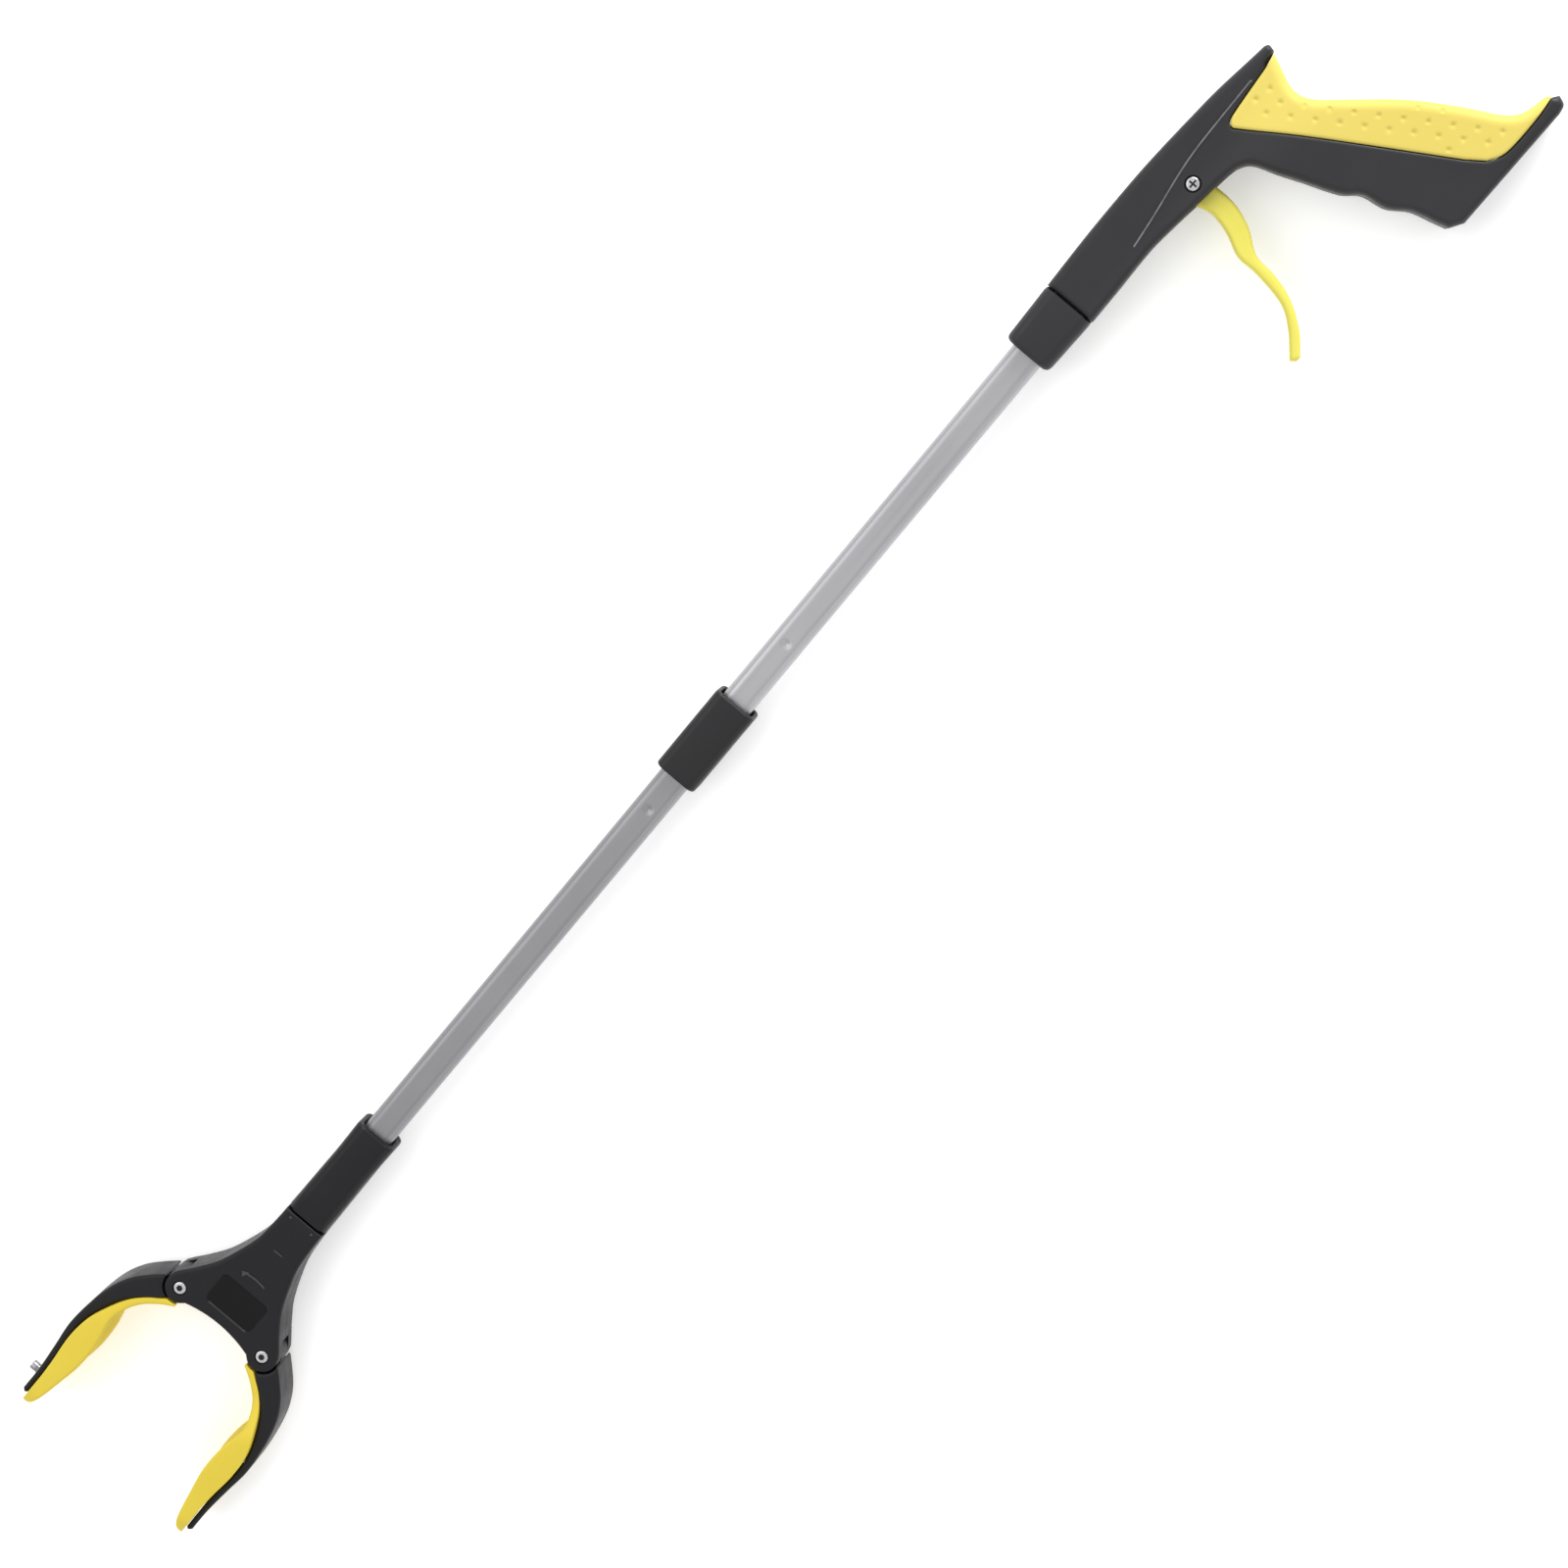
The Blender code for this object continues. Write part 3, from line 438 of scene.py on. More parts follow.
def srgb(red, green, blue):
    """An 8-bit screen colour as the linear colour a shader takes."""
    line = []
    for value in (red, green, blue):
        v = value / 255
        line.append(v / 12.92 if v <= 0.04045 else ((v + 0.055) / 1.055) ** 2.4)
    return (*line, 1.0)


class Surface:
    """A Principled material whose colour, roughness and relief come from noise in space."""

    def __init__(self, name, colour, rough, metal, specular):
        self.material = bpy.data.materials.new(name)
        self.material.use_nodes = True
        self.tree = self.material.node_tree
        self.shader = self.tree.nodes["Principled BSDF"]
        self.shader.inputs["Base Color"].default_value = colour
        self.shader.inputs["Roughness"].default_value = rough
        self.shader.inputs["Metallic"].default_value = metal
        self.shader.inputs["Specular IOR Level"].default_value = specular
        self.place = self.tree.nodes.new("ShaderNodeTexCoord").outputs["Object"]
        self.relief = None
        self.colour = colour
        self.rough = rough

    def noise(self, per_mm, stretch=(1, 1, 1), detail=4.0):
        """Grey noise with about that many grains a millimetre, drawn out along an axis."""
        mapping = self.tree.nodes.new("ShaderNodeMapping")
        mapping.inputs["Scale"].default_value = stretch
        self.tree.links.new(self.place, mapping.inputs["Vector"])
        node = self.tree.nodes.new("ShaderNodeTexNoise")
        node.inputs["Scale"].default_value = per_mm / MM
        node.inputs["Detail"].default_value = detail
        self.tree.links.new(mapping.outputs["Vector"], node.inputs["Vector"])
        return node.outputs["Fac"]

    def ramp(self, value, low, high, start=0.0, end=1.0):
        """Maps the range from low to high onto the one from start to end."""
        node = self.tree.nodes.new("ShaderNodeMapRange")
        for key, number in zip(("From Min", "From Max", "To Min", "To Max"), (low, high, start, end)):
            node.inputs[key].default_value = number
        self.tree.links.new(value, node.inputs["Value"])
        return node.outputs["Result"]

    def blotches(self, share, other, per_mm):
        """Mixes the colour towards another one in soft patches, by up to a share."""
        mix = self.tree.nodes.new("ShaderNodeMix")
        mix.data_type = "RGBA"
        mix.inputs["A"].default_value = self.colour
        mix.inputs["B"].default_value = other
        amount = self.ramp(self.noise(per_mm), 0.35, 0.65, 0.0, share)
        self.tree.links.new(amount, mix.inputs["Factor"])
        self.tree.links.new(mix.outputs["Result"], self.shader.inputs["Base Color"])

    def worn(self, spread, per_mm=0.15, stretch=(1, 1, 1)):
        """Lets the roughness wander by a spread, as handling does."""
        low, high = self.rough - spread, self.rough + spread
        value = self.ramp(self.noise(per_mm, stretch), 0.3, 0.7, low, high)
        self.tree.links.new(value, self.shader.inputs["Roughness"])

    def grained(self, per_mm, depth_mm, stretch=(1, 1, 1)):
        """Adds fine relief over whatever relief is there already."""
        bump = self.tree.nodes.new("ShaderNodeBump")
        bump.inputs["Distance"].default_value = depth_mm * MM
        bump.inputs["Strength"].default_value = 1.0
        self.tree.links.new(self.noise(per_mm, stretch, detail=3.0), bump.inputs["Height"])
        if self.relief:
            self.tree.links.new(self.relief, bump.inputs["Normal"])
        self.relief = bump.outputs["Normal"]
        self.tree.links.new(self.relief, self.shader.inputs["Normal"])


ALONG_ROD = (0.1, 1, 1)

# Each row: screen colour, metal, specular, patches (share, colour, grains a mm), roughness,
# its wear (spread, grains a mm, stretch) and layers of relief (grains a mm, depth, stretch).
FINISHES = {
    "handle_black": (
        (27, 27, 30), 0, 0.45, (0.4, (36, 36, 40), 0.02), 0.5, (0.06,), [(2.6, 0.02), (0.5, 0.02)],
    ),
    "fitting_black": ((17, 17, 20), 0, 0.4, (0.4, (26, 26, 29), 0.02), 0.46, (0.06,), [(3.0, 0.015)]),
    "claw_black": (
        (13, 13, 17), 0, 0.3, (0.4, (21, 21, 25), 0.02), 0.42, (0.06,), [(3.2, 0.015), (0.4, 0.02)],
    ),
    "cover_yellow": (
        (212, 194, 94), 0, 0.35, (0.3, (205, 184, 84), 0.02), 0.62, (0.06,), [(2.2, 0.03), (0.3, 0.03)],
    ),
    "trigger_yellow": (
        (222, 213, 90), 0, 0.45, (0.3, (215, 204, 78), 0.02), 0.4, (0.05,), [(2.4, 0.012), (0.12, 0.02)],
    ),
    "pad_yellow": (
        (219, 196, 60), 0, 0.4, (0.3, (211, 185, 50), 0.02), 0.58, (0.06,), [(2.0, 0.03), (0.25, 0.04)],
    ),
    "screw_steel": (
        (205, 205, 208), 0.95, 0.5, (0.3, (170, 170, 174), 0.5), 0.3, (0.08, 1.5), [(5.0, 0.01)],
    ),
    "inner_steel": (
        (150, 150, 154), 0.9, 0.5, (0.3, (120, 120, 124), 0.2), 0.36, (0.08, 1.0, ALONG_ROD),
        [(4.0, 0.008, ALONG_ROD)],
    ),
    "magnet_nickel": (
        (160, 160, 165), 0.9, 0.5, (0.3, (130, 130, 134), 0.4), 0.28, (0.06, 1.0), [(3.0, 0.008)],
    ),
    # a dark grey painted in the screws' driver recesses as shade
    "recess_painted_shade": ((52, 52, 55), 0.6, 0.5, (0.4, (36, 36, 38), 0.6), 0.6, (0.08, 1.5), [(4.0, 0.01)]),
    # a lighter grey painted on the handle's crease slope as a highlight
    "crease_painted_highlight": ((116, 116, 120), 0, 0.5, (0.6, (70, 70, 74), 0.3), 0.35, (), []),
    # a near-black painted on the sunken panel's floor as shade
    "panel_painted_shade": ((4, 4, 6), 0, 0.22, (0.4, (9, 9, 11), 0.02), 0.3, (), []),
    # a lighter grey painted on the tops of the claw's raised marks as a highlight
    "mark_painted_highlight": ((62, 62, 66), 0, 0.4, (0.4, (44, 44, 48), 0.3), 0.4, (0.06,), [(3.0, 0.015)]),
    "inner_acetal": ((200, 198, 190), 0, 0.5, (0.3, (186, 184, 176), 0.02), 0.5, (0.05,), [(2.5, 0.012)]),
}
for tube, bright in (("upper", 176), ("lower", 151)):  # drawn tubes, brushed along their length
    FINISHES[f"{tube}_aluminium"] = (
        (bright, bright, bright + 3), 0.8, 0.5,
        (0.4, (bright - 18, bright - 18, bright - 14), 0.012), 0.4, (0.08, 0.8, (0.02, 1, 1)),
        [(2.5, 0.012, (0.015, 1, 1)), (0.35, 0.03, (0.03, 1, 1))],
    )


def finished(name):
    """The material that a row of FINISHES describes."""
    colour, metal, specular, patches, rough, wear, reliefs = FINISHES[name]
    surface = Surface(name, srgb(*colour), rough, metal, specular)
    share, other, per_mm = patches
    surface.blotches(share, srgb(*other), per_mm)
    if wear:
        surface.worn(*wear)
    for relief in reliefs:
        surface.grained(*relief)
    return surface.material


MATERIALS = {name: finished(name) for name in FINISHES}


def add_piece(obj, body, material, node):
    """Gives a piece its finish, lets it move with its body and hides the CAD node it stands for."""
    obj.data.materials.clear()
    obj.data.materials.append(MATERIALS[material])
    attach(obj, body)
    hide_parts(node)


def second_finish(obj, material, chosen):
    """Gives another finish to the faces whose middles, in the tool's millimetres, are chosen."""
    obj.data.materials.append(MATERIALS[material])
    for face in obj.data.polygons:
        if chosen((face.center - ORIGIN) / MM):
            face.material_index = len(obj.data.materials) - 1


# ---- Tubes, lock sleeve, nose collar and neck

UPPER_DIMPLE_X, LOWER_DIMPLE_X = 51.0, -37.0  # crimped spots that hold the hinge blocks
DIMPLE_R = 2.6
DIMPLE_DEPTH = 0.7
TUBE_BROKEN_EDGE = 0.25
FLAT_STEPS = 16


def tube_piece(name, ends, dimple_x):
    """A drawn aluminium tube with broken edges at its ends, and a crimped dimple on each flat."""
    start, end = ends
    edge = TUBE_BROKEN_EDGE
    rows = [start + edge, *np.arange(start + 2, end - 1.5, 6.0), end - edge]
    near = np.arange(dimple_x - 4.2, dimple_x + 4.21, 0.35)  # close rows over the dimple
    rows = sorted({round(float(x), 3) for x in (*rows, *near)})
    half = (TUBE_HALF_Y, TUBE_HALF_Z, TUBE_CORNER)
    inner = (TUBE_HALF_Y - TUBE_WALL, TUBE_HALF_Z - TUBE_WALL, TUBE_CORNER - TUBE_WALL)

    def section(x, half_y, half_z, corner):
        ring = []
        flat_y, flat_z = half_y - corner, half_z - corner
        for (sy, sz), first in (((1, 1), 0), ((-1, 1), 90), ((-1, -1), 180), ((1, -1), 270)):
            ring += arc((sy * flat_y, sz * flat_z), corner, first, first + 90, CORNER_STEPS)
            if first in (0, 180):  # extra points across the wide flats, where the dimples are
                across = [flat_y * (1 - 2 * k / FLAT_STEPS) for k in range(1, FLAT_STEPS)]
                ring += [(y * sy, half_z * sz) for y in across]
        return [(x, y, z) for y, z in ring]

    def shifted(sizes, by):
        return [size + by for size in sizes]

    rings = [section(x, *half) for x in rows]
    rings.append(section(end, *shifted(half, -edge)))
    rings.append(section(end, *shifted(inner, edge)))
    rings += [section(x, *inner) for x in (end - edge, start + edge)]
    rings.append(section(start, *shifted(inner, edge)))
    rings.append(section(start, *shifted(half, -edge)))
    bm = skinned(rings, closed=True)
    for vert in bm.verts:
        if abs(abs(vert.co.z) - TUBE_HALF_Z) > 0.01:
            continue
        away = math.hypot(vert.co.x - dimple_x, vert.co.y)
        if away < DIMPLE_R:
            sunk = DIMPLE_DEPTH * 0.5 * (1 + math.cos(math.pi * away / DIMPLE_R))
            vert.co.z -= math.copysign(sunk, vert.co.z)
    return to_object(name, bm)


def build_tubes():
    """Both aluminium tubes; the lower one is a little darker."""
    for side, body, ends, dimple_x in (
        ("upper", "handle", UPPER_TUBE_X, UPPER_DIMPLE_X),
        ("lower", "lower_arm", LOWER_TUBE_X, LOWER_DIMPLE_X),
    ):
        tube = tube_piece(f"{side}_tube_skin", ends, dimple_x)
        add_piece(tube, body, f"{side}_aluminium", f"{side}_tube")


def build_lock_sleeve():
    """The sliding sleeve: a thick rounded square ring with softly broken rims."""
    end, half_y, half_z, corner = SLEEVE_HALF_LENGTH, 9.5, 10.0, 3.6
    bore_y, bore_z, bore_corner = 7.85, 7.7, 3.0
    rim, mouth = 1.4, 0.7
    sections = []
    for sine, cosine in quarter(6):
        less = rim * 0.85 * (1 - cosine)
        x = end - rim * (1 - sine)
        sections.append((x, half_y - less, half_z - less, corner - less * 0.8))
    for sine, cosine in quarter(4):
        more = mouth * (1 - sine)
        x = end - mouth * (1 - cosine)
        sections.append((x, bore_y + more, bore_z + more, bore_corner + more * 0.7))
    other = [(-x, a, b, c) for x, a, b, c in reversed(sections)]
    obj = to_object("lock_sleeve_skin", hollow_bar(sections + other))
    add_piece(obj, "lock_sleeve", "fitting_black", "lock_sleeve")


def build_nose_collar():
    """The stepped collar where the tube enters the handle."""
    start, end = COLLAR_X
    sections = [
        (start, 8.6, 9.2, 3.6), (start + 0.15, 9.0, 9.6, 3.8), (start + 0.6, 9.7, 10.4, 4.1),
        (start + 1.3, 10.2, 11.0, 4.3), (start + 2.4, 10.4, 11.2, 4.4),
        (end - 1.2, 11.0, 11.4, 4.6), (end + 0.15, 10.8, 11.2, 4.5),
        (end + 0.45, 10.3, 10.8, 4.2), (end + 0.45, 7.1, 7.1, 3.7),
        (end + 1.6, 7.1, 7.1, 3.7),  # a thin lip inside the handle's mouth
        (end + 1.6, 6.9, 6.6, 3.6), (start + 0.8, 7.2, 6.9, 3.6), (start + 0.25, 7.4, 7.1, 3.7),
        (start, 7.9, 7.6, 3.8),
    ]
    obj = to_object("nose_collar_skin", hollow_bar(sections))
    add_piece(obj, "handle", "handle_black", "nose_collar")


def build_neck_socket():
    """The long collar between the lower tube and the claw's swivel."""
    start, end = NECK_X
    sections = [
        (start, 8.7, 9.2, 3.5), (start + 0.25, 9.2, 9.7, 3.8), (start + 1.0, 9.6, 10.0, 4.0),
        (start + 12, 9.4, 9.95, 4.0), (start + 34, 9.15, 9.75, 4.0), (end - 1.6, 9.45, 9.95, 4.1),
        (end - 0.7, 9.3, 9.8, 4.0), (end - 0.1, 8.8, 9.3, 3.8), (end, 8.3, 8.8, 3.6),
        (end, 7.8, 7.4, 3.6), (end - 0.5, 7.2, 6.8, 3.5), (start + 12, 7.1, 6.7, 3.4),
        (start + 0.5, 7.8, 7.8, 3.4), (start, 8.2, 8.2, 3.4),
    ]
    obj = to_object("neck_socket_skin", hollow_bar(sections))
    add_piece(obj, "lower_arm", "claw_black", "neck_socket")


# ---- Camera, floor and light


FLOOR_GAP = 0.0005
FLOOR_HALF = 6.0


def build_stage():
    """A pale floor, a white sky and three soft lights."""
    floor_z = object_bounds()[0].z - FLOOR_GAP
    mesh = bpy.data.meshes.new("floor")
    corners = rectangle(-FLOOR_HALF, -FLOOR_HALF, FLOOR_HALF, FLOOR_HALF)
    mesh.from_pydata([(x, y, floor_z) for x, y in corners], [], [(0, 1, 2, 3)])
    floor = bpy.data.objects.new("floor", mesh)
    bpy.context.scene.collection.objects.link(floor)
    surface = Surface("floor_white", srgb(250, 250, 250), 0.9, 0.0, 0.1)
    surface.shader.inputs["Emission Color"].default_value = (1, 1, 1, 1)
    surface.shader.inputs["Emission Strength"].default_value = 0.3
    surface.blotches(0.2, srgb(246, 246, 247), 0.002)
    mesh.materials.append(surface.material)

    world = bpy.data.worlds.new("studio")
    world.use_nodes = True
    world.node_tree.nodes["Background"].inputs["Color"].default_value = (1, 1, 1, 1)
    world.node_tree.nodes["Background"].inputs["Strength"].default_value = 0.82
    bpy.context.scene.world = world

    def lamp(name, place, aim, size, watts):
        data = bpy.data.lights.new(name, "AREA")
        data.shape = "RECTANGLE"
        data.size, data.size_y = size
        data.energy = watts
        obj = bpy.data.objects.new(name, data)
        obj.location = place
        obj.rotation_euler = (Vector(aim) - Vector(place)).to_track_quat("-Z", "Y").to_euler()
        bpy.context.scene.collection.objects.link(obj)

    middle = (0.0, 0.0, 0.0)
    lamp("key_softbox", (-0.3, 1.0, 1.5), middle, (1.6, 1.2), 7)
    lamp("side_softbox", (1.5, 0.5, 0.55), middle, (0.9, 0.5), 20)
    lamp("low_softbox", (-0.6, -1.4, 0.9), middle, (1.4, 1.0), 2.5)


def build_camera():
    """The photo's view: from above, the tool turned across the picture."""
    target = Vector((0.01187, -0.0131, ORIGIN.z))
    place = Vector((0.2752, -0.0131, ORIGIN.z + 1.228))
    up = Vector((0.7716, 0.6361, 0.0))
    back = (place - target).normalized()
    right = up.cross(back).normalized()
    turn = Matrix((right, back.cross(right), back)).transposed()
    data = bpy.data.cameras.new("camera")
    data.sensor_width = 36.0
    data.lens = 71.9
    camera = bpy.data.objects.new("camera", data)
    camera.matrix_world = Matrix.Translation(place) @ turn.to_4x4()
    bpy.context.scene.collection.objects.link(camera)
    bpy.context.scene.camera = camera


# ---- Handle

NOSE_TOP = [(224, 11), (250, 11.7), (275, 11.6), (290, 11), (305, 10), (320, 8.8), (335, 6.8)]
NOSE_TIP = [(343.5, 5.7), (345, 4.5), (344.5, 1.6)]
BACK_SEAM = [(338, 0.3), (320, -1.3), (315, -2.2), (313, -4.5), (315, -8.5), (330, -32), (358, -79)]
BUTT_SEAM = [(363, -86), (370, -89.6), (385, -90), (396, -89)]
BUTT = [(398, -90.5), (396.5, -94), (393, -95), (341, -94.7)]
FINGER_EDGE = [(336, -91.5), (334.5, -86), (332, -77), (327, -69), (325, -59), (320, -52), (315, -39)]
GRIP_ROOT = [(311, -29), (308, -20.5), (304.5, -17), (299, -15.2)]
NOSE_BOTTOM = [(285, -13.6), (270, -11.8), (258, -10.8), (240, -11.1), (224, -11.2)]
PALM = [(344.4, 1.5), (342, -4), (339, -11), (338.5, -16), (341, -22), (350, -33), (362, -48)]
PALM_LOW = [(372, -64), (380, -79), (385, -84), (391, -86.2), (395.5, -87)]
SEAM_GAP = 0.35
SHELL_EDGE = 2.4
SHELL_EDGE_DROP = 3.2
SHELL_SCREWS = ((313.5, 3.6), (322.5, -44.0), (341.0, -89.5))
STYLE_STEP, STYLE_WIDTH = 0.42, 0.6
TUBE_ROOM = rectangle(223, -7.2, 272.5, 7.2)
WORKS_ROOM = [(271, 5.5), (296, 5.5), (298, -4), (302, -6), (302, -19.5), (279, -19.5)]
WORKS_ROOM += [(279, -9), (271, -5.5)]
PIVOT_BORE_R, PIVOT_HEAD_ROOM_R, PIVOT_HEAD_DEPTH = 1.8, 3.35, 2.4
SHELL_HEAD_ROOM_R, SHELL_HEAD_DEPTH = 2.5, 2.4
STYLE_LINE = [(344, 1.9), (330, 1.5), (305, 1.1), (295, 0.6), (285, -0.6), (270, -3), (256, -4.8)]
STYLE_X, STYLE_Y = zip(*flowing(STYLE_LINE)[::-1])


def seam_line():
    """Where the black shells meet the soft cover."""
    return flowing(BACK_SEAM) + flowing(BUTT_SEAM)


def shell_outline():
    """The black shells' outline, round the soft cover's seam."""
    top = flowing(NOSE_TOP) + flowing(NOSE_TIP)
    butt = flowing(BUTT[:3]) + [BUTT[3]]
    return top + seam_line() + butt + flowing(FINGER_EDGE) + flowing(GRIP_ROOT + NOSE_BOTTOM)


def handle_swell(points):
    """Half the handle's thickness away from its edges: slim at the nose, full at the grip."""
    x, y = points[:, 0], points[:, 1]
    down = smooth_step((-4.0 - y) / 26.0)
    swell = NOSE_HALF_Z - 0.5 * smooth_step((x - 300) / 45) * (1 - down)
    return swell + (GRIP_HALF_Z - 0.15 - swell) * down


def shell_height(outline):
    """The black shell's surface over a point: rounded along free edges, crisp at the seam."""
    seam = seam_line()
    free = [p for p in outline if distance_to([p], seam, closed=False)[0] > 1e-3]
    line = np.array(free)
    gaps = np.linalg.norm(np.roll(line, -1, axis=0) - line, axis=1)
    start = int(np.argmax(gaps)) + 1
    line = np.roll(line, -start, axis=0)

    def height(points):
        z = handle_swell(points)
        to_free = distance_to(points, line, closed=False)
        to_seam = distance_to(points, seam, closed=False)
        to_mouth = np.abs(points[:, 0] - NOSE_TOP[0][0])
        z = z - edge_round(to_free, SHELL_EDGE, SHELL_EDGE_DROP)
        z = z - edge_round(to_seam, 0.8, 0.7)
        z = z - edge_round(to_mouth, 0.6, 0.6)
        away = distance_to(points, flowing(STYLE_LINE), closed=False)
        fade = smooth_step((points[:, 0] - 254) / 16) * (1 - smooth_step((-7 - points[:, 1]) / 12))
        below = points[:, 1] < np.interp(points[:, 0], STYLE_X, STYLE_Y) - 0.01
        z = z - STYLE_STEP * fade * below * np.clip(away / STYLE_WIDTH, 0, 1)
        return np.maximum(z, PARTING + 0.4)

    return height


def on_painted_crease_highlight(spot):
    """Whether a point of the shell's side lies on the crease's narrow slope, which gets a painted
    highlight.
    """
    below = np.interp(spot.x, STYLE_X, STYLE_Y) - spot.y
    return 256 < spot.x < 331 and 0 < below < STYLE_WIDTH and abs(spot.z) > 9


def build_handle_shells():
    """The two black halves, hollowed for the tube and the works, with the trigger's bore."""
    outline = counter_clockwise(resampled(shell_outline(), 0.9))
    height = shell_height(outline)
    x, y = TRIGGER_PIVOT
    style = [p for p in flowing(STYLE_LINE) if p[0] < 332]
    folds = [style, [(x - 0.02, y - STYLE_WIDTH) for x, y in style]]
    rims = [0.12] + edge_steps(SHELL_EDGE, 5)
    for side, name, node in ((1, "handle_shell_near", "left"), (-1, "handle_shell_far", "right")):
        bm = carved(outline, height, rims=rims, folds=folds, spacing=1.3)
        if side < 0:
            flip(bm)
        obj = to_object(name, bm)
        rim = side * NOSE_HALF_Z
        inner = rim - side * PIVOT_HEAD_DEPTH
        trimmed(
            obj,
            prism(TUBE_ROOM, -side * OVERLAP, side * 6.8),
            prism(WORKS_ROOM, -side * OVERLAP, side * 5.4),
            bar((x, y, inner), (x, y, rim + side * 3), PIVOT_HEAD_ROOM_R, 48),
            bar((x, y, -side * OVERLAP), (x, y, inner + side), PIVOT_BORE_R),
        )
        if side < 0:
            for sx, sy in SHELL_SCREWS:
                face = -float(height(np.array([[sx, sy]]))[0])
                seat = (sx, sy, face + SHELL_HEAD_DEPTH)
                trimmed(obj, bar(seat, (sx, sy, face - 4), SHELL_HEAD_ROOM_R, 36))
        add_piece(obj, "handle", "handle_black", f"handle_shell_{node}")
        # the crease's narrow slope gets a lighter grey: a painted highlight
        second_finish(obj, "crease_painted_highlight", on_painted_crease_highlight)


# ---- Soft palm cover

DIMPLE_PITCH = 9.2  # along a row; rows are half of it apart, each shifted by half
GRIP_DIMPLE_R = 1.15
GRIP_DIMPLE_DEPTH = 0.5
DIMPLE_START, DIMPLE_END = (316.5, -11.0), (358.5, -79.0)  # a line along the seam
COVER_EDGE = 4.2
COVER_EDGE_DROP = 6.0


def cover_outline():
    """The soft cover's outline, a small gap inside the seam and the palm's line."""
    seam, palm = seam_line(), flowing(PALM + PALM_LOW)
    outline = counter_clockwise(seam + palm[::-1])
    ring = np.array(resampled(outline, 1.0))
    moved = ring + inward_normals(ring) * SEAM_GAP
    fine = distance_to(moved, ring) > SEAM_GAP * 0.9
    return [tuple(p) for p, good in zip(moved, fine) if good]


def grip_dimples(outline):
    """Staggered rows of small dimples that run along the seam, clear of the edges."""
    start = np.array(DIMPLE_START)
    ahead = np.array(DIMPLE_END) - start
    ahead /= np.linalg.norm(ahead)
    aside = np.array([-ahead[1], ahead[0]])
    half = DIMPLE_PITCH / 2
    spots = []
    for row in range(10):
        for i in range(-3, 12):
            along = DIMPLE_PITCH * i + half * (row % 2)
            spots.append(tuple(start + ahead * along + aside * (2.6 + half * row)))
    good = inside(spots, outline) & (distance_to(spots, outline) > 2.5)
    return [spot for spot, fine in zip(spots, good) if fine]


def build_grip_cover():
    """The yellow cover that wraps the grip's back and both of its sides, with its dimples."""
    outline = cover_outline()
    seam, palm = seam_line(), flowing(PALM + PALM_LOW)
    dimples = grip_dimples(outline)

    def height(points):
        z = handle_swell(points)
        z = z - edge_round(distance_to(points, palm, closed=False), COVER_EDGE, COVER_EDGE_DROP)
        z = z - edge_round(np.maximum(distance_to(points, seam, closed=False) - SEAM_GAP, 0), 0.9, 0.8)
        bowl = np.clip(1 - (nearest(points, dimples) / GRIP_DIMPLE_R) ** 2, 0, 1)
        return np.maximum(z - GRIP_DIMPLE_DEPTH * bowl, 0.9)

    spots = []
    for spot in dimples:
        spots += [spot] + circle(spot, GRIP_DIMPLE_R * 0.55, 8) + circle(spot, GRIP_DIMPLE_R, 12)
    bm = carved(
        outline,
        height,
        rims=edge_steps(COVER_EDGE, 6),
        spots=spots,
        spacing=1.1,
        both_sides=True,
    )
    add_piece(
        to_object("palm_cover_skin", bm), "handle", "cover_yellow", "grip_cover"
    )


# ---- Trigger

TRIGGER_FRONT = [(282.6, -13.5), (284, -20), (282, -29), (278, -38), (277.6, -48), (275, -62)]
TRIGGER_TIP = [(269.5, -70.5), (260.7, -78.8), (262.2, -80.8), (264.3, -81.2)]
TRIGGER_BACK = [(272, -74), (278.5, -64), (281.8, -53), (283, -43), (289, -34), (292.5, -24), (293, -14)]
TRIGGER_EDGE = 1.8
TRIGGER_HUB_R = 4.2
SPRING_SEAT_Z = -3.4


def build_trigger():
    """The sprung lever: hub, short arm up to the push rod, and the curved finger blade."""
    x, y = TRIGGER_PIVOT
    arm = arc((x, y + TRIGGER_ARM), 2.0, 0, 180, 14) + [(x - 2, y + TRIGGER_HUB_R)]
    left = arc(TRIGGER_PIVOT, TRIGGER_HUB_R, 125, 200, 8)
    blade = flowing(TRIGGER_FRONT + TRIGGER_TIP[:2]) + TRIGGER_TIP[2:]
    blade += flowing([TRIGGER_TIP[3]] + TRIGGER_BACK)[1:]
    right = arc(TRIGGER_PIVOT, TRIGGER_HUB_R, -20, 55, 8)
    outline = arm + left + blade + right + [(x + 2, y + TRIGGER_HUB_R)]
    edge = counter_clockwise(resampled(outline, 0.6))

    def height(points):
        swell = 0.25 * np.sin(np.clip((-14 - points[:, 1]) / 60, 0, 1) * math.pi)
        z = TRIGGER_HALF_Z - 0.25 + swell
        return z - edge_round(distance_to(points, edge), TRIGGER_EDGE, 1.9)

    bm = carved(outline, height, rims=edge_steps(TRIGGER_EDGE, 5), spacing=0.9, both_sides=True)
    obj = to_object("trigger_lever_skin", bm)
    trimmed(obj, bar((x, y, -9), (x, y, 9), 1.65), bar((x, y, -9), (x, y, SPRING_SEAT_Z), 7.0, 48))
    add_piece(obj, "trigger", "trigger_yellow", "trigger")


# ---- Claw

